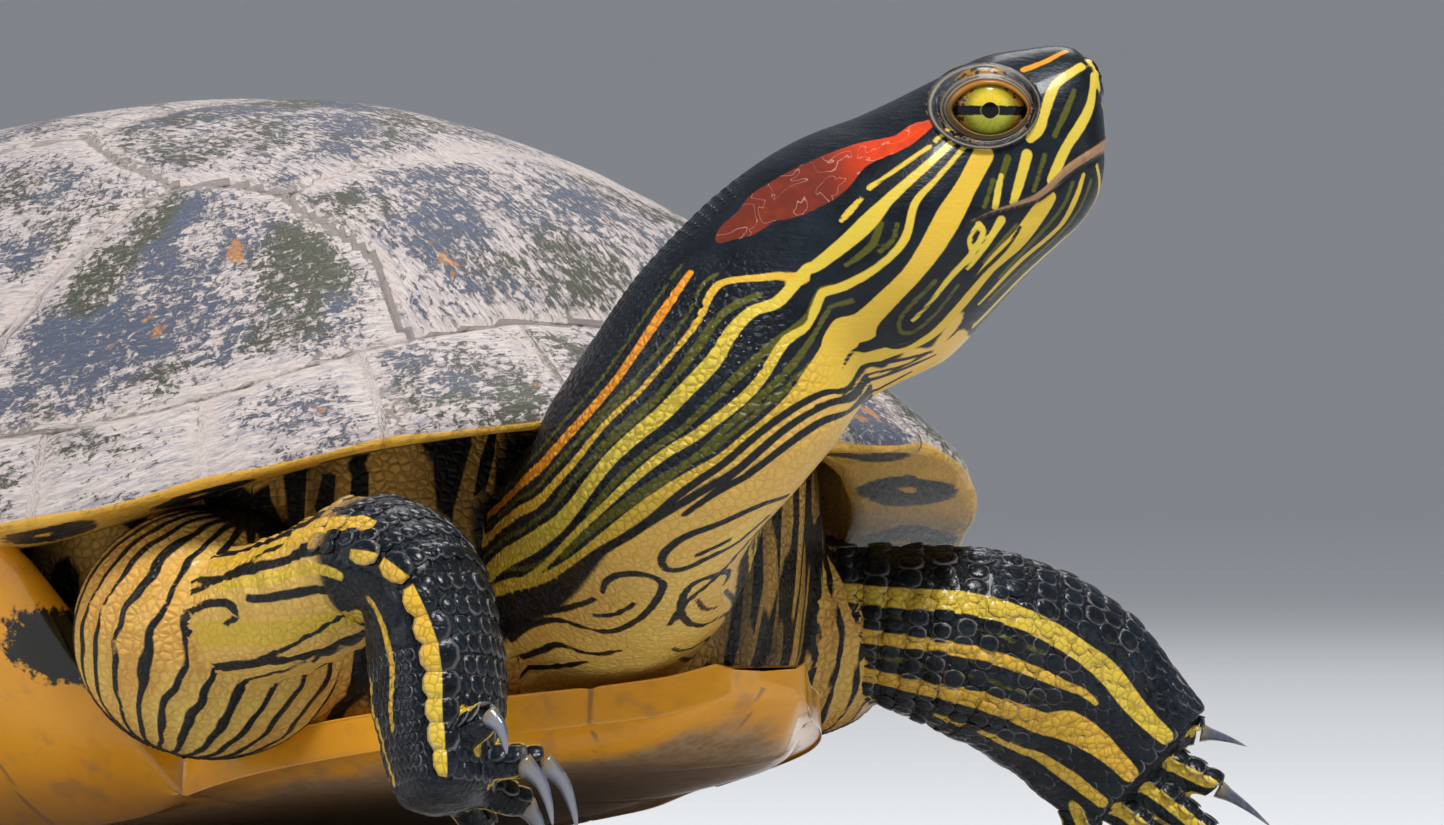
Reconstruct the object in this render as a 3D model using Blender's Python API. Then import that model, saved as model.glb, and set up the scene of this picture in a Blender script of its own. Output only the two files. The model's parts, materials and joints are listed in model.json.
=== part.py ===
"""Adult female red-eared slider turtle: a still, life-size model, its head raised and turned to its left.

Run with: blender --background --python part.py
Units are metres. +X is the way the body faces, +Y is its left and +Z is up. The origin is on the floor,
on the flat of the plastron under the middle of the shell. All flesh, shell and claws are solids of their
own, parted by thin gaps.
"""
from math import asin, cos, pi, radians, sin

import bmesh
import bpy
from mathutils import Matrix, Vector

MM = 0.001
GAP = 0.3 * MM
CLEAR = 0.45 * MM

# Shell
SHELL_LENGTH = 245 * MM
SHELL_WIDTH = 186 * MM
SHELL_PITCH = radians(5)
SHELL_ROLL = radians(3)
RIM_HEIGHT = 37.4 * MM
FRONT_RIM_RISE = 12.5 * MM
REAR_RIM_RISE = 5.5 * MM
APEX_HEIGHT = 101 * MM
APEX_FORWARD = 4 * MM
DOME_POWER = 2.35
MARGIN_EDGE = 2.6 * MM
MARGIN_INNER = 0.84
WALL = 4 * MM
DOME_SHARES = (0.17, 0.33, 0.48, 0.62, 0.74, 0.84, 0.93)
AROUND = 44
TRUNK_AROUND = 28

# Plastron
PLASTRON_FRONT = 118 * MM
PLASTRON_THICKNESS = 4.5 * MM
REST_FRONT = 6 * MM
PLASTRON_RISE = 15.5 * MM
BRIDGE_REAR = -42 * MM
BRIDGE_FRONT = 50 * MM
BRIDGE_REACH = 0.885

# Head, in its own frame: forward, left, up
HEAD_TURN = radians(47)
HEAD_PITCH = radians(23)
HEAD_ORIGIN = Vector((141.6, -6.5, 84.9)) * MM
HEAD_BACK = -8 * MM
SNOUT_REACH = 36.8 * MM
EYE_CENTRE = Vector((21.8, 6.6, 7.2)) * MM
EYE_RADIUS = 5.2 * MM
HEAD_SIDES = 20

LIMB_SIDES = 14
JOINT_SHARE = 0.42
CLAW_COUNT = {"front": 5, "hind": 4}
POCKETS = (("pocket_right", (69, -54, 31), (18, 19, 17)), ("pocket_left", (67, 51.5, 30), (17, 17, 14.5)),
           ("groin_left", (-62, 50, 21), (15, 15, 10)), ("groin_right", (-62, -50, 22), (15, 15, 10.5)))
DIGIT_SIDES = 8
CLAW_SIDES = 5
CLAW_STEPS = 3
DIGIT_RADIUS = 2.6 * MM
CLAW_RADIUS = 1.3 * MM
TOE_FLOOR = 2.3 * MM
UP = Vector((0, 0, 1))

SHELL_TILT = Matrix.Rotation(-SHELL_ROLL, 4, "X") @ Matrix.Rotation(-SHELL_PITCH, 4, "Y")
HEAD_AIM = Matrix.Rotation(HEAD_TURN, 4, "Z") @ Matrix.Rotation(-HEAD_PITCH, 4, "Y")
HEAD_FRAME = Matrix.Translation(HEAD_ORIGIN) @ HEAD_AIM


def smooth(low, high, x):
    """Rises from 0 at low to 1 at high without corners."""
    s = min(1, max(0, (x - low) / (high - low)))
    return s * s * (3 - 2 * s)


def through(keys, x):
    """A smooth curve through a few (place, value) keys, held level past its ends."""
    if x <= keys[0][0]:
        return keys[0][1]
    if x >= keys[-1][0]:
        return keys[-1][1]
    i = max(k for k in range(len(keys) - 1) if keys[k][0] <= x)
    before, start, end, after = (keys[min(max(i + k, 0), len(keys) - 1)] for k in (-1, 0, 1, 2))
    span = end[0] - start[0]
    slope_in = (end[1] - before[1]) / (end[0] - before[0]) * span
    slope_out = (after[1] - start[1]) / (after[0] - start[0]) * span
    s = (x - start[0]) / span
    rise = s * s * (3 - 2 * s)
    return start[1] + (end[1] - start[1]) * rise + slope_in * s * (1 - s) ** 2 - slope_out * s * s * (1 - s)


def finish(name, colour, roughness):
    """A Principled material with one colour and roughness."""
    material = bpy.data.materials.new(name)
    material.use_nodes = True
    shader = material.node_tree.nodes["Principled BSDF"]
    shader.inputs["Base Color"].default_value = (*colour, 1)
    shader.inputs["Roughness"].default_value = roughness
    shader.inputs["Metallic"].default_value = 0
    return material


def add(name, mesh, collection, colour=(0.05, 0.06, 0.06), roughness=0.5):
    """An object for a mesh, in its collection and with its own material."""
    mesh.name = name
    solid = bpy.data.objects.new(name, mesh)
    collection.objects.link(solid)
    if collection is CUTTERS:
        solid.hide_render = True
        solid.display_type = "WIRE"
    else:
        mesh.materials.append(finish(name, colour, roughness))
        mesh.shade_smooth()
        mesh.set_sharp_from_angle(angle=radians(40))
    return solid


def loft(rings):
    """A closed mesh through rings of points; a ring of one point is a pole, any other end is a flat cap."""
    shape = bmesh.new()
    loops = [[shape.verts.new(p) for p in ring] for ring in rings]
    for low, high in zip(loops, loops[1:]):
        count = max(len(low), len(high))
        for i in range(count):
            j = i + 1
            corners = (low[i % len(low)], low[j % len(low)], high[j % len(high)], high[i % len(high)])
            shape.faces.new(list(dict.fromkeys(corners)))
    for end in (loops[0], loops[-1]):
        if len(end) > 1:
            shape.faces.new(end)
    bmesh.ops.recalc_face_normals(shape, faces=shape.faces)
    if shape.calc_volume(signed=True) < 0:
        bmesh.ops.reverse_faces(shape, faces=shape.faces)
    mesh = bpy.data.meshes.new("loft")
    shape.to_mesh(mesh)
    shape.free()
    return mesh


def ball(centre, radii, segments, rings):
    """A round or stretched ball from the sphere primitive."""
    shape = bmesh.new()
    bmesh.ops.create_uvsphere(shape, u_segments=segments, v_segments=rings, radius=1)
    size = Matrix.Diagonal((*radii, 1))
    bmesh.ops.transform(shape, matrix=Matrix.Translation(centre) @ size, verts=shape.verts)
    mesh = bpy.data.meshes.new("ball")
    shape.to_mesh(mesh)
    shape.free()
    return mesh


def cut(solid, cutter, operation="DIFFERENCE"):
    """Takes one closed shape away from another, or joins or crosses them."""
    step = solid.modifiers.new(cutter.name, "BOOLEAN")
    step.operation = operation
    step.solver = "EXACT"
    step.object = cutter


# Shell surfaces


def rim_outline(angle, share=1.0):
    """Plan position at a share of the way from the middle of the shell to its rim."""
    fullness = 1 + 0.018 * sin(2 * angle) ** 2
    return (share * SHELL_LENGTH / 2 * cos(angle) * fullness, share * SHELL_WIDTH / 2 * sin(angle) * fullness)


def rim_height(angle):
    """Rim height before the shell is tilted: it arches over the legs and dips at the nuchal."""
    ahead = cos(angle)
    front = FRONT_RIM_RISE * smooth(0.45, 1.03, ahead) - 2 * MM * smooth(0.93, 1, ahead)
    rear = REAR_RIM_RISE * smooth(0.42, 0.85, -ahead) - 1.5 * MM * smooth(0.93, 1, -ahead)
    return RIM_HEIGHT + front + rear


def dome(angle, share, sink=0.0):
    """A point on the upper face of the shell, or below it by sink."""
    x, y = rim_outline(angle, share)
    rim = rim_height(angle)
    flare = 3.2 * MM * abs(cos(angle)) * (1 - abs(2 * share - 1.72) / 0.28) if 0.72 < share < 1 else 0
    height = rim + (APEX_HEIGHT - rim) * (1 - share ** DOME_POWER) - flare
    return SHELL_TILT @ Vector((x + APEX_FORWARD * (1 - share * share), y, height - sink))


def under_margin(angle, share, drop=0.0):
    """A point on the under face of the marginal scutes, lower by drop."""
    x, y = rim_outline(angle, share)
    side = 1 - abs(cos(angle)) ** 2
    inward = (1 - share) / (1 - MARGIN_INNER)
    height = rim_height(angle) - MARGIN_EDGE + inward * (1.5 - 3 * side) * MM
    return SHELL_TILT @ Vector((x, y, height - drop))


def belly(x):
    """Height of the under face of the plastron: flat on the floor behind, rising to the chest."""
    return PLASTRON_RISE * max(0, x - REST_FRONT) / (PLASTRON_FRONT - REST_FRONT)


def angles(count=AROUND):
    """Evenly spaced directions round the shell."""
    return [2 * pi * k / count for k in range(count)]


def carapace_rings(grow=0.0):
    """Rings from the crown of the dome out to the rim, back under it and up its inner wall."""
    outer = [[dome(a, share, -grow) for a in angles()] for share in DOME_SHARES]
    reach = 1 + 2 * grow / SHELL_WIDTH
    edge = [[dome(a, reach, -grow / 2) for a in angles()]]
    edge.append([under_margin(a, reach - 0.012, grow) for a in angles()])
    inner = [[under_margin(a, MARGIN_INNER - grow / SHELL_WIDTH, grow) for a in angles()]]
    inner += [[dome(a, share, WALL + grow) for a in angles()] for share in (0.8, 0.6, 0.4, 0.2)]
    return [[dome(0, 0, -grow)], *outer, *edge, *inner, [dome(0, 0, WALL + grow)]]


def trunk_rings():
    """Rings of the body inside the shell, a little clear of it, with a collar of skin in front."""
    sink = WALL + 2 * CLEAR
    rings = [[dome(0, 0, sink)]]
    rings += [[dome(a, share, sink) for a in angles(TRUNK_AROUND)] for share in (0.2, 0.4, 0.6, 0.77)]
    collar = [smooth(0.5, 0.72, cos(a)) for a in angles(TRUNK_AROUND)]
    rings.append([under_margin(a, 0.755 + 0.06 * c) for a, c in zip(angles(TRUNK_AROUND), collar)])
    for share, fill, height in ((0.63, 0.15, 20 * MM), (0.46, 0.13, None)):
        ring = []
        for a, c in zip(angles(TRUNK_AROUND), collar):
            x, y = rim_outline(a, share + fill * c)
            floor = belly(x) + PLASTRON_THICKNESS + 2 * CLEAR
            ring.append(Vector((x, y, floor if height is None else max(height, floor + 4 * MM))))
        rings.append(ring)
    return [*rings, [Vector((0, 0, PLASTRON_THICKNESS + 2 * CLEAR))]]


PLATE_STATIONS = (-108, -104, -96, -82, -64, -52, -48, -44, -40, -37, -16, 6,
                  26, 43, 47, 50, 53, 57, 66, 80, 92, 102, 109, 115, 118)
HALF_WIDTH = [(-108, 13), (-103, 27), (-92, 37), (-72, 44), (-52, 46.5), (-40, 48),
              (40, 50), (52, 48), (66, 48), (78, 44.5), (88, 38), (98, 28.5), (107, 18.5), (113, 12.5),
              (118, 7)]
LIP = [(-108, 2.5), (-60, 1.2), (42, 1.2), (70, 3.6), (93, 5), (112, 5.6), (118, 7)]


def plastron_section(x):
    """One closed cross-section of the plastron, with the bridge up to the carapace where there is one."""
    bridge = smooth(BRIDGE_REAR - 7 * MM, BRIDGE_REAR + 4 * MM, x)
    bridge *= smooth(-BRIDGE_FRONT - 7 * MM, 4 * MM - BRIDGE_FRONT, -x)
    half = through(HALF_WIDTH, x / MM) * MM
    lip = through(LIP, x / MM) * MM
    under, over = [], []
    for side in (-1, 1):
        angle = side * (pi / 2 - asin(max(-1, min(1, x / (SHELL_LENGTH / 2 * BRIDGE_REACH)))))
        top = under_margin(angle, BRIDGE_REACH, CLEAR)
        for share in (0.35, 0.75, 0.9, 1.0):
            y = side * half * share
            flat = 1 - smooth(0.6, 1, share) ** 1.5
            flat *= 1 - smooth(100 * MM, PLASTRON_FRONT, x) ** 1.5
            under.append(Vector((x, y, belly(x) + lip * (1 - flat))))
            over.append(Vector((x, y * (1 - 0.02 * share), under[-1].z + PLASTRON_THICKNESS)))
        for share in (0.5, 1.0):
            reach = bridge * share
            y = side * half * (1 - reach) + top.y * reach
            z = (belly(x) + lip) * (1 - bridge * share ** 1.3) + top.z * bridge * share ** 1.3
            wide = Vector((0, side, 0)) * GAP * share
            under.append(Vector((x, y, z - 8 * MM * bridge * share * (1 - share))) + wide)
            over.append(Vector((x, y - side * 5 * MM * reach, z + (1 - reach) * PLASTRON_THICKNESS)))
        if side < 0:
            under.reverse()
            over.reverse()
    return under + over[::-1]


# Limbs, neck and head


def ring_at(centre, along, wide, half_wide, half_thin, sides):
    """An oval ring square to a direction, its long axis as near as can be to wide."""
    along = along.normalized()
    wide = (wide - wide.dot(along) * along).normalized()
    thin = along.cross(wide)
    turns = [2 * pi * k / sides for k in range(sides)]
    return [centre + wide * half_wide * cos(t) + thin * half_thin * sin(t) for t in turns]


class Limb:
    """A tube of flesh through stations of (centre, half width, half thickness, wide axis), in mm."""

    def __init__(self, stations, sides=LIMB_SIDES):
        self.stations = stations
        self.sides = sides

    def value(self, pick, s):
        """One smoothly varying number of the stations, s counted in stations."""
        return through([(i, pick(station)) for i, station in enumerate(self.stations)], s)

    def centre(self, s):
        """Middle of the tube; past its ends it goes straight on."""
        last = len(self.stations) - 1
        held = min(max(s, 0), last)
        point = Vector([self.value(lambda station: station[0][k], held) for k in range(3)]) * MM
        if s != held:
            near = min(max(held, 0.05), last - 0.05)
            inner = Vector([self.value(lambda station: station[0][k], near) for k in range(3)]) * MM
            point += (point - inner) * abs((s - held) / (held - near))
        return point

    def along(self, s):
        """Direction of the tube."""
        return (self.centre(s + 0.05) - self.centre(s - 0.05)).normalized()

    def ring(self, s, grow=0.0, back=0.0):
        """The skin ring at s, widened by grow and moved back along the tube."""
        wide = Vector([self.value(lambda station: station[3][k], s) for k in range(3)])
        half_wide = self.value(lambda station: station[1], s) * MM + grow
        half_thin = self.value(lambda station: station[2], s) * MM + grow
        centre = self.centre(s) - self.along(s) * back
        return ring_at(centre, self.along(s), wide, half_wide, half_thin, self.sides)

    def rings(self, start, end, steps, grow=0.0):
        """Rings from start to end; the last stops a gap short of the next piece."""
        rings = [self.ring(start, grow, grow)]
        rings += [self.ring(start + (end - start) * k / steps, grow) for k in range(1, steps)]
        return [*rings, self.ring(end, grow, GAP)]


TOP_LINE = [(-8.6, 13.1), (-2.8, 13.0), (5.2, 12.4), (10.6, 12.5), (17.2, 12.9), (24.3, 13.1), (30, 12.2),
            (34.4, 10.2), (36.8, 6.4)]
LOW_LINE = [(-8.6, -22), (-0.9, -21.4), (4, -21.2), (11.1, -18.6), (18, -15.1), (27.8, -11.9),
            (33.2, -7.4), (35.2, -3.4), (36.8, -0.6)]
HALF_HEAD = [(-8.6, 15.4), (-2, 16.4), (5, 16.6), (11, 15.4), (17, 13.0), (22, 11.0), (27, 9.0), (32, 7.0),
             (35.2, 5.2), (36.8, 3.6)]


HEAD_STATIONS = (HEAD_BACK / MM, -2.5, 3, 8.5, 13.5, 18, 22, 26, 29.5, 32.5, 34.8, 36.2, SNOUT_REACH / MM)
MOUTH_LINE = ((40, -3.4), (34.6, -4.2), (26, -5.6), (20, -6.9), (14.2, -6.2), (8.2, -12), (5.6, -24),
              (40, -24))
JAW_MIDDLE = Vector((22, -12))


def head_ring(x, back=0.0):
    """A cross-section of the head, in head millimetres: flat-topped, full at the jaw."""
    top, low = through(TOP_LINE, x), through(LOW_LINE, x)
    half = through(HALF_HEAD, x)
    middle, tall = (top + low) / 2, (top - low) / 2
    points = []
    for k in range(HEAD_SIDES):
        turn = 2 * pi * k / HEAD_SIDES
        up = sin(turn)
        narrow = 1 - 0.16 * max(0, up) - 0.14 * max(0, -up)
        across = cos(turn) * (1 + 0.1 * abs(sin(2 * turn))) * narrow
        point = Vector((x, half * across, middle + tall * up)) * MM
        points.append(HEAD_FRAME @ (point - Vector((back, 0, 0))))
    return points


NECK = Limb([((54, 0, 32), 17, 15.5, (0, 1, 0)), ((80, -3, 34.5), 17.5, 16.4, (0.1, 1, 0)),
             ((106.4, -14.5, 43.6), 16.4, 17.2, (0.4, 1, 0)), ((123.2, -24.4, 53), 14.8, 17.5, (0.4, 1, 0)),
             ((132, -24.4, 61), 14.0, 17.5, (-0.1, 1, 0)), ((137, -19, 70.5), 14.2, 17.3, (-0.6, 1, 0)),
             ((138.8, -11.7, 77.9), 15.2, 17.2, (-0.7, 0.7, 0))], HEAD_SIDES)
TAIL = Limb([((-82, 0, 19), 10.5, 9, (0, 1, 0)), ((-100, 2, 17), 8.5, 7.5, (0, 1, 0)),
             ((-114, 6, 13), 6.4, 5.8, (0, 1, 0)), ((-126, 13, 8.4), 4.2, 3.9, (0, 1, 0)),
             ((-136, 22, 4.8), 1.7, 1.7, (0, 1, 0))], 12)

ARM_RIGHT = [((64, -52, 33), 9.5, 9.5, (0, -1, 0)), ((80, -58.5, 33), 9.2, 9, (0, -1, 0)),
             ((94, -59, 36), 9.6, 8.6, (0.1, -1, 0)), ((105.5, -58, 40.5), 10.4, 8.2, (0.3, -1, 0)),
             ((113.5, -57.5, 37.5), 10.9, 8.2, (0.55, -0.85, 0)),
             ((116.6, -57.5, 29), 11.2, 8.6, (0.7, -0.7, 0)),
             ((118, -58, 20), 11.2, 8.2, (0.72, -0.69, 0)), ((119.5, -58.5, 11), 11.4, 6.4, (0.73, -0.68, 0))]
ARM_LEFT = [((60, 42, 32), 9.5, 9.5, (0, 0, 1)), ((76, 56, 31.5), 10, 9.5, (0.2, 0.2, 1)),
            ((86, 68, 29), 12.4, 9.4, (0.3, 0.3, 1)), ((89.5, 80.5, 23.6), 13.4, 8.6, (0.4, 0.4, 0.8)),
            ((92.8, 86.5, 17.2), 12.4, 6.8, (0.4, 0.43, 0.81)),
            ((96.5, 90, 12.2), 11.4, 4.6, (0.5, 0.45, 0.65))]
LEG = [((-62, 42, 20), 11, 10, (1, 0, 0)), ((-66, 61, 19.5), 11.5, 10, (1, 0, 0)),
       ((-75, 77, 17.5), 11.5, 9.8, (1, 0.6, 0)), ((-88, 84.5, 12.5), 10.5, 8.4, (0.3, 1, 0)),
       ((-99, 88, 8.6), 9.6, 6.8, (0.3, 1, 0)), ((-111, 93, 5.4), 13, 4.6, (0.4, 1, 0))]
LEFT_TO_RIGHT = Matrix.Diagonal((1, -1, 1))


class Paw:
    """A palm and its digits, each given as (wide, ahead, rise) of its end from the palm and claw length."""

    def __init__(self, centre, wide, ahead, droop, digits):
        self.centre = Vector(centre) * MM
        self.wide = Vector(wide).normalized()
        self.ahead = Vector(ahead).normalized()
        self.droop = droop
        self.digits = digits

    def digit_line(self, digit):
        """Knuckle and end of one digit; the end is kept at toe height above the floor."""
        wide, ahead, rise, _ = digit
        knuckle = self.centre + (self.wide * wide * 0.55 + self.ahead * ahead * 0.15 + UP * rise * 0.4) * MM
        end = self.centre + (self.wide * wide + self.ahead * ahead + UP * rise) * MM
        knuckle.z = max(knuckle.z, TOE_FLOOR + 1.2 * MM)
        end.z = max(end.z, TOE_FLOOR)
        return knuckle, end

    def digit_mesh(self, digit):
        """A slightly swollen finger that ends in a flat face for its claw."""
        knuckle, end = self.digit_line(digit)
        along = end - knuckle
        rings = []
        for k, swell in enumerate((1.1, 1.05, 1, 0.72)):
            radius = DIGIT_RADIUS * swell
            centre = knuckle + along * k / 3
            rings.append(ring_at(centre, along, self.wide, radius, radius * 0.9, DIGIT_SIDES))
        return loft(rings)

    def claw_mesh(self, digit):
        """A horn that leaves the end of its digit and curves to the floor."""
        knuckle, end = self.digit_line(digit)
        along = (end - knuckle).normalized()
        length = digit[3] * MM
        rings = []
        centre = end + along * GAP
        for k in range(CLAW_STEPS + 1):
            share = k / CLAW_STEPS
            radius = CLAW_RADIUS * (1 - 0.86 * share)
            centre.z = max(centre.z, radius + 0.3 * MM)
            rings.append(ring_at(centre, along, self.wide, radius * 0.8, radius, CLAW_SIDES))
            along = (along - UP * self.droop / CLAW_STEPS).normalized() if centre.z > 3 * MM else along
            centre = centre + along * length / CLAW_STEPS
        return loft(rings)


PAW_RIGHT = Paw((118.8, -58.3, 14), (0.731, -0.682, 0), (0.682, 0.731, 0), 3.0,
                [(-11.5, 5, -7.5, 6), (-7.5, 10.5, -5, 8), (-2.2, 12.8, 0.6, 10.5),
                 (4.2, 10.2, 0.6, 9.5), (11.5, 6.2, 6.5, 6)])
PAW_LEFT = Paw((92.8, 87, 13.8), (0.41, 0.44, 0.8), (0.546, 0.585, -0.6), 0.3,
               [(-15, 8, 0, 6), (-9, 15, 0, 7), (-0.6, 18, 0, 8), (5.2, 15, 0, 9), (9.8, 8.6, 0, 6.5)])
FOOT = Paw((-107, 91.5, 5.6), (0.42, 0.9, 0.05), (-0.9, 0.42, -0.12), 0.2,
           [(11.5, 12.5, 0, 6), (6.8, 18, 0, 7), (1, 20.5, 0, 7), (-5, 19, 0, 6), (-10.5, 13.5, 0, 5)])


def mirrored(paw):
    """The same paw on the other side of the body."""
    other = Paw((0, 0, 0), (1, 0, 0), (0, 1, 0), paw.droop, paw.digits)
    other.centre, other.wide, other.ahead = (LEFT_TO_RIGHT @ v for v in (paw.centre, paw.wide, paw.ahead))
    return other


def mirrored_stations(stations):
    """Limb stations on the other side of the body."""
    return [((x, -y, z), wide, thin, (u, -v, w)) for (x, y, z), wide, thin, (u, v, w) in stations]


# Building


for old in list(bpy.data.objects):
    bpy.data.objects.remove(old, do_unlink=True)
MODEL = bpy.data.collections.new("red_eared_slider")
CUTTERS = bpy.data.collections.new("cutters")
for group in (MODEL, CUTTERS):
    bpy.context.scene.collection.children.link(group)

SKIN = (0.045, 0.055, 0.05)
HORN = (0.42, 0.37, 0.3)


def box(name, low, high):
    """A cutter box between two corners."""
    shape = bmesh.new()
    bmesh.ops.create_cube(shape, size=1)
    low, high = Vector(low), Vector(high)
    place = Matrix.Translation((low + high) / 2) @ Matrix.Diagonal((*(high - low), 1))
    bmesh.ops.transform(shape, matrix=place, verts=shape.verts)
    mesh = bpy.data.meshes.new(name)
    shape.to_mesh(mesh)
    shape.free()
    return add(name, mesh, CUTTERS)


def build_shell():
    """The carapace with its marginal rim, and the plastron with its bridges."""
    add("carapace", loft(carapace_rings()), MODEL, (0.2, 0.2, 0.16), 0.5)
    plate = loft([plastron_section(x * MM) for x in PLATE_STATIONS])
    return add("plastron", plate, MODEL, (0.5, 0.32, 0.06), 0.3)


def build_flesh(shell_clearance, plastron_clearance, ground):
    """Trunk, neck, tail, limbs, hands and feet."""
    trunk = add("trunk", loft(trunk_rings()), MODEL, SKIN, 0.6)
    for name, centre, radii in POCKETS:
        pocket = ball(Vector(centre) * MM, Vector(radii) * MM, 12, 8)
        cut(trunk, add(name, pocket, CUTTERS), "UNION")

    neck_rings = NECK.rings(0, 5.85, 10)
    neck_rings[-1] = head_ring(HEAD_BACK / MM, GAP)
    cut(add("neck", loft(neck_rings), MODEL, SKIN, 0.6), shell_clearance)
    cut(trunk, add("neck_clearance", loft(NECK.rings(0, 4.095, 7, CLEAR)), CUTTERS))
    add("tail", loft(TAIL.rings(0, 4, 8)), MODEL, SKIN, 0.6)
    cut(trunk, add("tail_clearance", loft(TAIL.rings(0, 2, 3, CLEAR)), CUTTERS))

    limbs = (("upper_arm", "forearm", "hand", "front", "right", ARM_RIGHT, PAW_RIGHT),
             ("upper_arm", "forearm", "hand", "front", "left", ARM_LEFT, PAW_LEFT),
             ("thigh", "shank", "foot", "hind", "left", LEG, FOOT),
             ("thigh", "shank", "foot", "hind", "right", mirrored_stations(LEG), mirrored(FOOT)))
    for upper, lower, end, place, side, stations, paw in limbs:
        names = (f"{upper}_{side}", f"{lower}_{side}", f"{end}_{side}")
        build_limb(trunk, ground, stations, paw, names, f"claw_{place}_{side}", CLAW_COUNT[place])
    cut(trunk, shell_clearance)
    cut(trunk, plastron_clearance)
    for name in ("upper_arm_right", "upper_arm_left", "thigh_left", "thigh_right", "tail"):
        cut(bpy.data.objects[name], shell_clearance)
        cut(bpy.data.objects[name], plastron_clearance)


def build_limb(trunk, ground, stations, paw, names, claw_name, claws):
    """Upper part, lower part and paw of one limb, its socket in the trunk, and its claws."""
    limb = Limb(stations)
    last = len(stations) - 1
    joint, wrist = last * JOINT_SHARE, last - 1.0
    upper, lower, end = names
    add(upper, loft(limb.rings(0, joint, 5)), MODEL, SKIN, 0.6)
    add(lower, loft(limb.rings(joint, wrist, 4)), MODEL, SKIN, 0.6)
    socket = loft(limb.rings(0, joint * 0.8, 4, CLEAR))
    cut(trunk, add(upper + "_clearance", socket, CUTTERS))
    hand = add(end, loft(limb.rings(wrist, last, 3)), MODEL, SKIN, 0.6)
    for number, digit in enumerate(paw.digits, 1):
        cut(hand, add(f"{end}_digit_{number}", paw.digit_mesh(digit), CUTTERS), "UNION")
        if number <= claws:
            add(f"{claw_name}_{number}", paw.claw_mesh(digit), MODEL, HORN, 0.35)
    cut(hand, ground)
    cut(bpy.data.objects[lower], ground)


def build_head():
    """Head with its eye sockets, the lower jaw parted along the mouth, and the eyes."""
    whole = [head_ring(x) for x in HEAD_STATIONS]
    head = add("head", loft(whole), MODEL, SKIN, 0.5)
    jaw = add("lower_jaw", loft(whole), MODEL, SKIN, 0.5)
    for name, solid, inset, operation in (("mouth_cut", head, 0, "DIFFERENCE"),
                                          ("jaw_keep", jaw, GAP / MM, "INTERSECT")):
        outline = [p + (JAW_MIDDLE - p).normalized() * inset * 1.3 for p in map(Vector, MOUTH_LINE)]
        sides = [[HEAD_FRAME @ (Vector((p.x, y, p.y)) * MM) for p in outline] for y in (-22, 22)]
        cut(solid, add(name, loft(sides), CUTTERS), operation)
    for side, label in ((1, "left"), (-1, "right")):
        centre = HEAD_FRAME @ Vector((EYE_CENTRE.x, side * EYE_CENTRE.y, EYE_CENTRE.z))
        cut(head, add(f"socket_{label}", ball(centre, [EYE_RADIUS + GAP] * 3, 14, 8), CUTTERS))
        add(f"eye_{label}", ball(centre, [EYE_RADIUS] * 3, 14, 8), MODEL, (0.35, 0.4, 0.05), 0.1)


def swollen(mesh, by):
    """The mesh with every corner moved out along its normal."""
    normals = [corner.normal.copy() for corner in mesh.vertices]
    for corner, normal in zip(mesh.vertices, normals):
        corner.co += normal * by
    return mesh


ground_block = box("ground", (-0.3, -0.3, -0.03), (0.3, 0.3, 0))
plate = build_shell()
cut(plate, ground_block)
carapace_guard = add("carapace_clearance", loft(carapace_rings(CLEAR)), CUTTERS)
plastron_shape = loft([plastron_section(x * MM) for x in PLATE_STATIONS])
plastron_guard = add("plastron_clearance", swollen(plastron_shape, 1.5 * CLEAR), CUTTERS)
build_flesh(carapace_guard, plastron_guard, ground_block)
build_head()
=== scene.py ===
"""Red-eared slider turtle: the finished model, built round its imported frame.

Lengths in the classes are millimetres; meshes are made in metres. +X is the way the body faces, +Y is its
left and +Z is up. One skin covers the trunk, neck, head, tail and limbs; shell, eyes, claws and scales are
pieces of their own.
"""
import json
import logging
from dataclasses import dataclass
from enum import Enum
from typing import Callable, Sequence

import bmesh
import bpy
import numpy as np
from bpy.types import Material, Mesh, Node, NodeSocket, NodeTree, Object
from mathutils import Matrix, Vector, noise
from mathutils.kdtree import KDTree

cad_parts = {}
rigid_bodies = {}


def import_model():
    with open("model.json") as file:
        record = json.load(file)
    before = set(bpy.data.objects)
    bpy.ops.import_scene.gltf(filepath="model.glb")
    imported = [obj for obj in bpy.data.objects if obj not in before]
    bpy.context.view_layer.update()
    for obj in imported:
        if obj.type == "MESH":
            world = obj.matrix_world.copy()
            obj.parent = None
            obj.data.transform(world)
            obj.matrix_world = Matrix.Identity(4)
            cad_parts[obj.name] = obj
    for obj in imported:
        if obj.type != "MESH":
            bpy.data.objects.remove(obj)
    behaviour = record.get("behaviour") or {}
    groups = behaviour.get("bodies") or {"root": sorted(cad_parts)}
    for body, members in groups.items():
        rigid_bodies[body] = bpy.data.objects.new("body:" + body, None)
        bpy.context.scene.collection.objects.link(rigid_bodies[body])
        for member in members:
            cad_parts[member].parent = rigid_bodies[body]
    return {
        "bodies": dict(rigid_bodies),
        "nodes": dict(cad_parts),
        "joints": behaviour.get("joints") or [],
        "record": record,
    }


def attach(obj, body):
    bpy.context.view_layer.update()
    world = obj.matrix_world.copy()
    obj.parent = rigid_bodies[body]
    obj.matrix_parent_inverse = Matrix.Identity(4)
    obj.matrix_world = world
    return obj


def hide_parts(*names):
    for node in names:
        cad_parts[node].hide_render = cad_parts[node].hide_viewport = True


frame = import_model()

LOG = logging.getLogger("slider")
MM = 0.001
UNPAINTED = -9.0
TAU = 2 * np.pi
UP = np.array((0.0, 0.0, 1.0))
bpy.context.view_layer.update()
Colour = tuple[float, float, float]
Keys = Sequence[tuple]
Array = np.ndarray
Numbers = Array | float
Fields = dict[str, Array]
Pair = tuple[Array, Array]
Bands = list[tuple]


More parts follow.
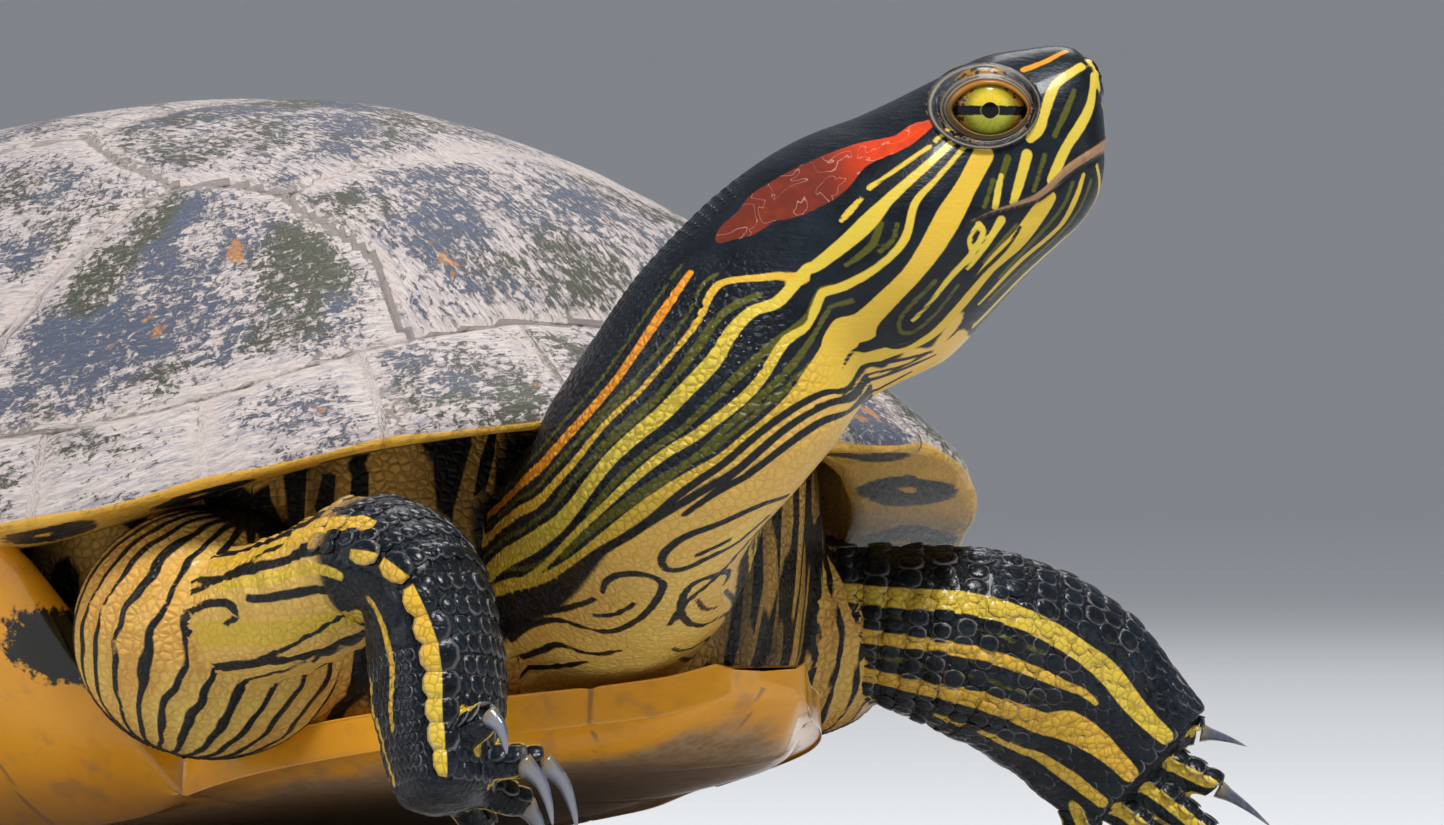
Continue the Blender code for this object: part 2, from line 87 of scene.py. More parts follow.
class Side(Enum):
    """Side of the body; the value is the sign of Y."""

    LEFT = 1
    RIGHT = -1

    @property
    def word(self) -> str:
        """The side's name as the nodes spell it."""
        return self.name.lower()


class Tone(Enum):
    """What a marking is painted with; the value names its distance field."""

    YELLOW = "stripe"
    OLIVE = "faint"
    DARK = "line"
    SCARLET = "scarlet"
    HORN = "horn"


# Numbers and curves


def smooth(low: float, high: float, x: Numbers) -> Array:
    """Rises from 0 at low to 1 at high without corners.

    Args:
        low: Where the rise starts.
        high: Where it ends.
        x: Where it is read.

    Returns:
        The share risen, from 0 to 1.
    """
    s = np.clip((np.asarray(x, float) - low) / (high - low), 0, 1)
    return s * s * (3 - 2 * s)


def curve(keys: Keys, x: Numbers) -> Array:
    """Reads a smooth curve through a few keys, held level past its ends.

    Args:
        keys: (place, value) pairs; a value is a number or a tuple.
        x: The places to read.

    Returns:
        The values, with one more axis where the keys hold tuples.
    """
    place = np.array([key[0] for key in keys], float)
    value = np.array([key[1] for key in keys], float)
    x = np.clip(np.asarray(x, float), place[0], place[-1])
    i = np.clip(np.searchsorted(place, x, "right") - 1, 0, len(place) - 2)
    before, after = np.maximum(i - 1, 0), np.minimum(i + 2, len(place) - 1)
    span = place[i + 1] - place[i]
    s = (x - place[i]) / span
    near, far = place[i + 1] - place[before], place[after] - place[i]
    if value.ndim > 1:
        s, span, near, far = (part[..., None] for part in (s, span, near, far))
    slope_in = (value[i + 1] - value[before]) / near * span
    slope_out = (value[after] - value[i]) / far * span
    rise = s * s * (3 - 2 * s)
    bend = slope_in * s * (1 - s) ** 2 - slope_out * s * s * (1 - s)
    return value[i] + (value[i + 1] - value[i]) * rise + bend


def unit(v: Array) -> Array:
    """Vectors of length one along the last axis."""
    return v / np.maximum(np.linalg.norm(v, axis=-1, keepdims=True), 1e-9)


def rotation(angle: float, axis: str) -> Array:
    """A 3x3 turn about X, Y or Z by degrees."""
    return np.array(Matrix.Rotation(np.radians(angle), 3, axis))


def circle(count: int) -> Array:
    """Angles in radians of a number of points spread round a ring."""
    return np.arange(count) / count * TAU


def bell(x: Numbers, width: float) -> Array:
    """A smooth bump: 1 at zero, falling away over a width."""
    return np.exp(-(x / width) ** 2)


def grain(points: Array, size: float, seed: float = 0.0) -> Array:
    """Smooth noise at points.

    Args:
        points: Places, in mm.
        size: Size of its lumps, in mm.
        seed: Moves the noise, so that two of them differ.

    Returns:
        One number from -1 to 1 a point.
    """
    return np.array([noise.noise(Vector(p)) for p in points / size + seed * 7.31])


# Surfaces


@dataclass
class Patch:
    """A surface before it becomes a mesh: points in mm, faces, and named numbers at the points."""

    points: Array
    faces: list[tuple[int, ...]]
    fields: Fields

    def volume(self) -> float:
        """Six times the signed volume; below zero where the faces point inwards."""
        total = 0.0
        by_size: dict[int, list] = {}
        for face in self.faces:
            by_size.setdefault(len(face), []).append(face)
        for size, faces in by_size.items():
            corners = self.points[np.array(faces)]
            for k in range(1, size - 1):
                turn = np.cross(corners[:, k], corners[:, k + 1])
                total += float(np.einsum("ij,ij->", corners[:, 0], turn))
        return total

    def mesh(self, name: str) -> Mesh:
        """Makes the mesh, faces outwards, with the fields as point attributes.

        Args:
            name: The mesh's name.

        Returns:
            The mesh, in metres.
        """
        faces = self.faces if self.volume() > 0 else [face[::-1] for face in self.faces]
        mesh = bpy.data.meshes.new(name)
        mesh.from_pydata((self.points * MM).tolist(), [], faces)
        write_fields(mesh, self.fields)
        mesh.shade_smooth()
        return mesh


def write_fields(mesh: Mesh, fields: Fields) -> None:
    """Stores numbers or vectors at a mesh's points.

    Args:
        mesh: The mesh.
        fields: Arrays by name, one row a point.
    """
    for name, values in fields.items():
        kind, slot = ("FLOAT", "value") if values.ndim == 1 else ("FLOAT_VECTOR", "vector")
        layer = mesh.attributes.new(name, kind, "POINT")
        layer.data.foreach_set(slot, np.ascontiguousarray(values, np.float32).ravel())


def loft(rings: Array, **fields: Array) -> Patch:
    """A closed tube through rings of points.

    Args:
        rings: Array of (rings, sides, 3), in mm.
        fields: Arrays of (rings, sides), kept at the points.

    Returns:
        The tube, each end closed by a flat face.
    """
    count, sides = rings.shape[:2]
    faces = []
    for r in range(count - 1):
        low, high = r * sides, (r + 1) * sides
        for i in range(sides):
            j = (i + 1) % sides
            faces.append((low + i, low + j, high + j, high + i))
    faces.append(tuple(range(sides))[::-1])
    faces.append(tuple(range((count - 1) * sides, count * sides)))
    flat = {name: values.reshape(count * sides, *values.shape[2:]) for name, values in fields.items()}
    return Patch(rings.reshape(-1, 3), faces, flat)


def hoop(rings: Array, **fields: Array) -> Patch:
    """A closed ring-shaped solid: as loft, but the last ring joins the first.

    Args:
        rings: Array of (rings, sides, 3), in mm.
        fields: Arrays of (rings, sides), kept at the points.

    Returns:
        The solid.
    """
    solid = loft(rings, **fields)
    count, sides = rings.shape[:2]
    low = (count - 1) * sides
    join = [(low + i, low + (i + 1) % sides, (i + 1) % sides, i) for i in range(sides)]
    return Patch(solid.points, solid.faces[:-2] + join, solid.fields)


def grid_normals(rings: Array) -> Array:
    """Outward normals of a tube's grid of points.

    Args:
        rings: The tube's points, as (rings, sides, 3).

    Returns:
        A unit vector for each point.
    """
    along = np.gradient(rings, axis=0)
    round_it = np.roll(rings, -1, axis=1) - np.roll(rings, 1, axis=1)
    normal = unit(np.cross(round_it, along))
    outward = rings - rings.mean(axis=1, keepdims=True)
    sign = np.sign(np.einsum("rsk,rsk->rs", normal, outward).sum(axis=1))
    return normal * sign[:, None, None]


@dataclass(frozen=True)
class Tube:
    """A limb of flesh through stations of (centre, half width, half thickness, wide axis)."""

    stations: tuple

    @property
    def last(self) -> int:
        """Number of the last station."""
        return len(self.stations) - 1

    def read(self, item: int, s: Array) -> Array:
        """One item of the stations at s, smoothly varying."""
        return curve([(i, station[item]) for i, station in enumerate(self.stations)], s)

    def frame(self, s: Array) -> tuple[Array, ...]:
        """Middle, direction, wide and thin axes, and half sizes at s.

        Args:
            s: Places along the tube, counted in stations.

        Returns:
            Centre, along, wide, thin, half width and half thickness.
        """
        s = np.asarray(s, float)
        along = unit(self.read(0, np.minimum(s + 0.05, self.last)) - self.read(0, np.maximum(s - 0.05, 0)))
        wide = self.read(3, s)
        wide = unit(wide - np.einsum("...k,...k->...", wide, along)[..., None] * along)
        return self.read(0, s), along, wide, np.cross(along, wide), self.read(1, s), self.read(2, s)

    def point(self, s: Array, turn: Array, lift: Numbers = 0.0) -> Array:
        """Points on the skin.

        Args:
            s: Places along the tube.
            turn: Angles round it, in degrees from the wide axis.
            lift: Height above the skin.

        Returns:
            Points, in mm.
        """
        centre, _, wide, thin, half_wide, half_thin = self.frame(s)
        t = np.radians(turn)
        across = ((half_wide + lift) * np.cos(t))[..., None] * wide
        return centre + across + ((half_thin + lift) * np.sin(t))[..., None] * thin


# Body plan


@dataclass(frozen=True)
class ShellPlan:
    """Sizes and surfaces of the shell, shared by the shell, the trunk and the scutes."""

    length: float = 245
    width: float = 186
    pitch: float = 5
    roll: float = 3
    rim: float = 37.4
    front_rise: float = 12.5
    rear_rise: float = 5.5
    apex: float = 101
    apex_forward: float = 4
    dome_power: float = 2.35
    edge: float = 2.6
    margin_inner: float = 0.84
    wall: float = 4

    def tilt(self, points: Array) -> Array:
        """Tips points of the level shell to the way it sits."""
        return points @ (rotation(-self.roll, "X") @ rotation(-self.pitch, "Y")).T

    def outline(self, turn: Array, share: Numbers = 1.0) -> Pair:
        """Plan place at a share of the way from the middle to the rim."""
        full = 1 + 0.018 * np.sin(2 * turn) ** 2
        return share * self.length / 2 * np.cos(turn) * full, share * self.width / 2 * np.sin(turn) * full

    def rim_height(self, turn: Array) -> Array:
        """Rim height of the level shell: arched over the legs, dipped at the nuchal.

        Args:
            turn: Angles round the shell, in radians.

        Returns:
            Heights, in mm.
        """
        ahead = np.cos(turn)
        front = self.front_rise * smooth(0.45, 1.03, ahead) - 2 * smooth(0.93, 1, ahead)
        rear = self.rear_rise * smooth(0.42, 0.85, -ahead) - 1.5 * smooth(0.93, 1, -ahead)
        return self.rim + front + rear

    def dome(self, turn: Array, share: Array, sink: Numbers = 0.0) -> Array:
        """Points on the upper face, or below it by sink.

        Args:
            turn: Angles round the shell, in radians.
            share: Share of the way from the middle to the rim.
            sink: Depth below the face.

        Returns:
            Points, in mm.
        """
        x, y = self.outline(turn, share)
        rim = self.rim_height(turn)
        flare = 3.2 * np.abs(np.cos(turn)) * (1 - np.abs(2 * share - 1.72) / 0.28)
        flare = np.where((share > 0.72) & (share < 1), flare, 0)
        height = rim + (self.apex - rim) * (1 - share ** self.dome_power) - flare
        return self.tilt(np.stack((x + self.apex_forward * (1 - share * share), y, height - sink), -1))

    def under(self, turn: Array, share: Array, drop: Numbers = 0.0) -> Array:
        """Points on the under face of the marginal scutes, lower by drop.

        Args:
            turn: Angles round the shell, in radians.
            share: Share of the way from the middle to the rim.
            drop: Depth below the face.

        Returns:
            Points, in mm.
        """
        x, y = self.outline(turn, share)
        inward = (1 - share) / (1 - self.margin_inner)
        sideways = 1 - np.cos(turn) ** 2
        height = self.rim_height(turn) - self.edge + inward * (1.5 - 3 * sideways)
        return self.tilt(np.stack((x, y, height - drop), -1))

    def belly(self, x: Array) -> Array:
        """Height of the plastron's under face: flat behind, rising to the chest."""
        return 15.5 * np.maximum(0, np.asarray(x, float) - 6) / 112


SHELL = ShellPlan()


@dataclass(frozen=True)
class HeadPlan:
    """Sizes and surface of the head, in its own frame: forward, left, up."""

    turn: float = 47
    pitch: float = 23
    origin: tuple = (141.6, -6.5, 84.9)
    back: float = -8
    snout: float = 36.4
    eye: tuple = (21.8, 6.6, 7.2)
    eye_radius: float = 5.2
    top: tuple = ((-8.6, 13.1), (-2.8, 13.0), (5.2, 12.4), (10.6, 12.5), (17.2, 12.9), (24.3, 13.2),
                  (30, 11.9), (33.6, 10.8), (35.6, 9.5), (36.4, 8.0))
    low: tuple = ((-8.6, -22), (-0.9, -21.6), (4, -21.4), (11.1, -18.6), (18, -15.4), (24, -13.1),
                  (27, -12.0), (29.7, -10.4), (31.8, -8.4), (33.7, -5.2), (35.2, -1.6), (36.4, 2.2))
    half: tuple = ((-8.6, 15.4), (-2, 16.4), (5, 16.6), (11, 15.4), (17, 13.0), (22, 11.0), (27, 9.0),
                   (32, 6.8), (35.2, 4.8), (36.4, 3.4))
    mouth: tuple = ((13, -6.2), (17, -6.2), (20, -6.6), (23.8, -6.9), (28.7, -5.4), (34, -4.4), (37, -3.4))

    def aim(self) -> Array:
        """The 3x3 turn from the head's frame to the body's."""
        return rotation(self.turn, "Z") @ rotation(-self.pitch, "Y")

    def place(self, local: Array) -> Array:
        """Body-frame points from head-frame points."""
        return local @ self.aim().T + np.array(self.origin)

    def local(self, points: Array) -> Array:
        """Head-frame points from body-frame points."""
        return (points - np.array(self.origin)) @ self.aim()

    def across(self, t: Array) -> Array:
        """Share of the half width at an angle in radians round the head: full at the jaw."""
        up = np.sin(t)
        narrow = 1 - 0.16 * np.maximum(0, up) - 0.14 * np.maximum(0, -up)
        return np.cos(t) * (1 + 0.1 * np.abs(np.sin(2 * t))) * narrow

    def ring(self, x: Array, turn: Array) -> Array:
        """Head-frame points of the cross-sections at x.

        Args:
            x: Places along the head.
            turn: Angles round it, in degrees from its left.

        Returns:
            Points in the head's frame.
        """
        top, low, half = (curve(keys, x) for keys in (self.top, self.low, self.half))
        t = np.radians(turn)
        up = (top + low) / 2 + (top - low) / 2 * np.sin(t)
        return np.stack((x + 0 * t, half * self.across(t), up), -1)

    def lateral(self, x: Array, z: Array) -> Array:
        """Half width of the head at a place in side view."""
        top, low, half = (curve(keys, x) for keys in (self.top, self.low, self.half))
        t = np.arcsin(np.clip((z - (top + low) / 2) / ((top - low) / 2), -0.999, 0.999))
        return half * self.across(t)

    def side(self, x: Array, z: Array, side: Side) -> Array:
        """Body-frame points on the skin from places in side view."""
        x, z = np.asarray(x, float), np.asarray(z, float)
        return self.place(np.stack((x, side.value * self.lateral(x, z), z), -1))

    def level(self, local: Array) -> Pair:
        """Forward and upward distance from the eye's middle, with the eye held level in the tipped head."""
        dx, dz = local[..., 0] - self.eye[0], local[..., 2] - self.eye[2]
        c, s = np.cos(np.radians(self.pitch)), np.sin(np.radians(self.pitch))
        return dx * c - dz * s, dx * s + dz * c

    def from_level(self, p: Array, q: Array) -> Pair:
        """The head-frame x and z of a place given as level does."""
        c, s = np.cos(np.radians(self.pitch)), np.sin(np.radians(self.pitch))
        return self.eye[0] + p * c + q * s, self.eye[2] - p * s + q * c


HEAD = HeadPlan()
NECK = Tube((((54, 0, 32), 17, 15.5, (0, 1, 0)), ((80, -3, 34.5), 17.5, 16.4, (0.1, 1, 0)),
             ((106.4, -14.5, 43.6), 16.4, 17.2, (0.4, 1, 0)), ((123.2, -24.4, 53), 14.8, 17.5, (0.4, 1, 0)),
             ((132, -24.4, 61), 14.0, 17.5, (-0.1, 1, 0)), ((137, -19, 70.5), 14.2, 17.3, (-0.6, 1, 0)),
             ((138.8, -11.7, 77.9), 15.2, 17.2, (-0.7, 0.7, 0))))
TAIL = Tube((((-82, 0, 19), 10.5, 9, (0, 1, 0)), ((-100, 2, 17), 8.5, 7.5, (0, 1, 0)),
             ((-114, 6, 13), 6.4, 5.8, (0, 1, 0)), ((-126, 13, 8.4), 4.2, 3.9, (0, 1, 0)),
             ((-136, 22, 4.8), 1.7, 1.7, (0, 1, 0))))
ARM_RIGHT = Tube((((64, -52, 33), 9.5, 9.5, (0, -1, 0)), ((80, -58.5, 33), 9.2, 9, (0, -1, 0)),
                  ((94, -59, 36), 9.6, 8.6, (0.1, -1, 0)), ((105.5, -58, 40.5), 10.4, 8.2, (0.3, -1, 0)),
                  ((113.5, -57.5, 37.5), 10.9, 8.2, (0.55, -0.85, 0)),
                  ((116.6, -57.5, 29), 11.2, 8.6, (0.7, -0.7, 0)),
                  ((118, -58, 20), 11.2, 8.2, (0.72, -0.69, 0)),
                  ((119.5, -58.5, 11), 11.4, 6.4, (0.73, -0.68, 0))))
ARM_LEFT = Tube((((60, 42, 32), 9.5, 9.5, (0, 0, 1)), ((76, 56, 31.5), 10, 9.5, (0.2, 0.2, 1)),
                 ((86, 68, 29), 12.4, 9.4, (0.3, 0.3, 1)), ((89.5, 80.5, 23.6), 13.4, 8.6, (0.4, 0.4, 0.8)),
                 ((92.8, 86.5, 17.2), 12.4, 6.8, (0.4, 0.43, 0.81)),
                 ((96.5, 90, 12.2), 11.4, 4.6, (0.5, 0.45, 0.65))))
LEG_LEFT = Tube((((-62, 42, 20), 11, 10, (1, 0, 0)), ((-66, 61, 19.5), 11.5, 10, (1, 0, 0)),
                 ((-75, 77, 17.5), 11.5, 9.8, (1, 0.6, 0)), ((-88, 84.5, 12.5), 10.5, 8.4, (0.3, 1, 0)),
                 ((-99, 88, 8.6), 9.6, 6.8, (0.3, 1, 0)), ((-111, 93, 5.4), 13, 4.6, (0.4, 1, 0))))
POCKETS = (((69, -54, 31), (17.6, 18.6, 16.6)), ((67, 51.5, 30), (16.6, 16.6, 14.2)),
           ((-62, 50, 21), (15, 15, 10)), ((-62, -50, 22), (15, 15, 10.5)))


def mirrored_tube(tube: Tube) -> Tube:
    """The same limb on the other side of the body."""
    return Tube(tuple(((x, -y, z), wide, thin, (u, -v, w))
                      for (x, y, z), wide, thin, (u, v, w) in tube.stations))


@dataclass(frozen=True)
class Paw:
    """A palm and its digits, each (wide, ahead, rise) of its end from the palm, and its claw's length."""

    centre: tuple
    wide: tuple
    ahead: tuple
    droop: float
    digits: tuple
    digit_radius: float = 2.6
    claw_radius: float = 1.3
    toe_floor: float = 2.3

    def mirrored(self) -> "Paw":
        """The same paw on the other side of the body."""
        flip = [(v[0], -v[1], v[2]) for v in (self.centre, self.wide, self.ahead)]
        return Paw(*flip, self.droop, self.digits)

    def line(self, digit: tuple) -> Pair:
        """Knuckle and end of one digit, kept above the floor.

        Args:
            digit: One of the digits.

        Returns:
            The two points, in mm.
        """
        wide, ahead, rise, _ = digit
        w, a = unit(np.array(self.wide, float)), unit(np.array(self.ahead, float))
        knuckle = np.array(self.centre) + w * wide * 0.55 + a * ahead * 0.15 + UP * rise * 0.4
        end = np.array(self.centre) + w * wide + a * ahead + UP * rise
        knuckle[2] = max(knuckle[2], self.toe_floor + 1.2)
        end[2] = max(end[2], self.toe_floor)
        return knuckle, end


PAW_RIGHT = Paw((118.8, -58.3, 14), (0.731, -0.682, 0), (0.682, 0.731, 0), 3.0,
                ((-11.5, 5, -7.5, 6), (-7.5, 10.5, -5, 8), (-2.2, 12.8, 0.6, 10.5),
                 (4.2, 10.2, 0.6, 9.5), (11.5, 6.2, 6.5, 6)))
PAW_LEFT = Paw((92.8, 87, 13.8), (0.41, 0.44, 0.8), (0.546, 0.585, -0.6), 0.3,
               ((-15, 8, 0, 6), (-9, 15, 0, 7), (-0.6, 18, 0, 8), (5.2, 15, 0, 9), (9.8, 8.6, 0, 6.5)))
FOOT_LEFT = Paw((-107, 91.5, 5.6), (0.42, 0.9, 0.05), (-0.9, 0.42, -0.12), 0.2,
                ((11.5, 12.5, 0, 6), (6.8, 18, 0, 7), (1, 20.5, 0, 7), (-5, 19, 0, 6), (-10.5, 13.5, 0, 5)))


@dataclass(frozen=True)
class LimbPlan:
    """One limb: its tube, its paw, its CAD nodes and its claws."""

    tube: Tube
    paw: Paw
    nodes: tuple
    claw_name: str
    claws: int
    sides: int
    rings: int
    soft: tuple = (0.8, 1.4)


LIMBS = (
    LimbPlan(ARM_RIGHT, PAW_RIGHT, ("upper_arm_right", "forearm_right", "hand_right"), "claw_front_right",
             5, 64, 96, (2.6, 3.3)),
    LimbPlan(ARM_LEFT, PAW_LEFT, ("upper_arm_left", "forearm_left", "hand_left"), "claw_front_left",
             5, 64, 84, (0.2, 0.5)),
    LimbPlan(LEG_LEFT, FOOT_LEFT, ("thigh_left", "shank_left", "foot_left"), "claw_hind_left", 4, 48, 64),
    LimbPlan(mirrored_tube(LEG_LEFT), FOOT_LEFT.mirrored(), ("thigh_right", "shank_right", "foot_right"),
             "claw_hind_right", 4, 48, 64),
)


# Markings


@dataclass(frozen=True)
class Stripe:
    """A painted line: its tone, its ways over head and neck in (place, place, width) keys, and its warmth."""

    tone: Tone
    head: tuple = ()
    neck: tuple = ()
    warm: float = 0.0
    once: bool = False
    spacing: float = 0.4
    soft_edge: float = 0.22
    least_width: float = 0.5
    neck_start: float = 5.84

    def joint(self) -> tuple:
        """Where a stripe that runs on from the head enters the neck: station, turn and width."""
        _, z, width = self.head[-1]
        top, low = HEAD.top[0][1], HEAD.low[0][1]
        climb = np.clip((z - (top + low) / 2) / ((top - low) / 2), -1, 1)
        return self.neck_start, 180 - float(np.degrees(np.arcsin(climb))), width

    def widened(self, way: tuple) -> Array:
        """The keys of a way, no line thinner than the least width."""
        keys = np.array(way, float)
        keys[:, 2] = np.maximum(keys[:, 2], self.least_width) + self.soft_edge
        return keys

    def dots(self, side: Side) -> Array:
        """Closely spaced (x, y, z, width) samples along the stripe on one side of the body.

        Args:
            side: The side of the body.

        Returns:
            One row a sample.
        """
        parts = []
        if self.head:
            keys = self.widened(self.head)
            parts.append(np.column_stack((HEAD.side(keys[:, 0], keys[:, 1], side), keys[:, 2])))
        if self.neck:
            keys = through(self.widened((self.joint(), *self.neck) if self.head else self.neck))
            turn = keys[:, 1] if side is Side.RIGHT else 180 - keys[:, 1]
            parts.append(np.column_stack((NeckHead.surface(keys[:, 0], turn), keys[:, 2])))
        return spread(np.concatenate(parts), self.spacing)


def through(keys: Array) -> Array:
    """Six samples a key along a smooth curve through the keys of a way."""
    return curve(list(enumerate(map(tuple, keys))), np.linspace(0, len(keys) - 1, 6 * len(keys)))


def spread(way: Array, spacing: float) -> Array:
    """Resamples a way of (x, y, z, width) rows smoothly at an even spacing."""
    length = np.concatenate(([0], np.cumsum(np.linalg.norm(np.diff(way[:, :3], axis=0), axis=1))))
    places = np.linspace(0, length[-1], max(2, int(length[-1] / spacing)))
    return curve(list(zip(length, map(tuple, way))), places)


def band_field(points: Array, dots: Array) -> Array:
    """How far points lie inside a band, in mm; below zero outside it.

    Args:
        points: Places on the skin.
        dots: Samples of the band's middle, with its width.

    Returns:
        The distance inside the band's edge.
    """
    field = np.full(len(points), UNPAINTED)
    low, high = dots[:, :3].min(axis=0) - 6, dots[:, :3].max(axis=0) + 6
    near = np.where(np.all((points > low) & (points < high), axis=1))[0]
    for start in range(0, len(near), 6000):
        part = near[start:start + 6000]
        gap = points[part, None, :].astype(np.float32) - dots[None, :, :3].astype(np.float32)
        inside = dots[:, 3].astype(np.float32) / 2 - np.sqrt(np.einsum("ijk,ijk->ij", gap, gap))
        field[part] = inside.max(axis=1)
    return field


def blank_fields(count: int) -> Fields:
    """Fields of unpainted skin for a number of points.

    Args:
        count: How many points.

    Returns:
        The fields, by name.
    """
    fields = {tone.value: np.full(count, UNPAINTED) for tone in Tone}
    fields.update({name: np.zeros(count) for name in ("warm", "pale", "lid", "plate")})
    fields["coarse"] = np.ones(count)
    return fields


def paint(points: Array, fields: Fields, bands: Bands) -> None:
    """Adds bands to the fields of a surface.

    Args:
        points: The surface's points, in mm.
        fields: Its fields, changed in place.
        bands: (tone, warm, dots) of each band.
    """
    for tone, warm, dots in bands:
        field = band_field(points, dots)
        wins = field > fields[tone.value]
        if tone is Tone.YELLOW:
            fields["warm"] = np.where(wins, warm, fields["warm"])
        fields[tone.value] = np.maximum(fields[tone.value], field)


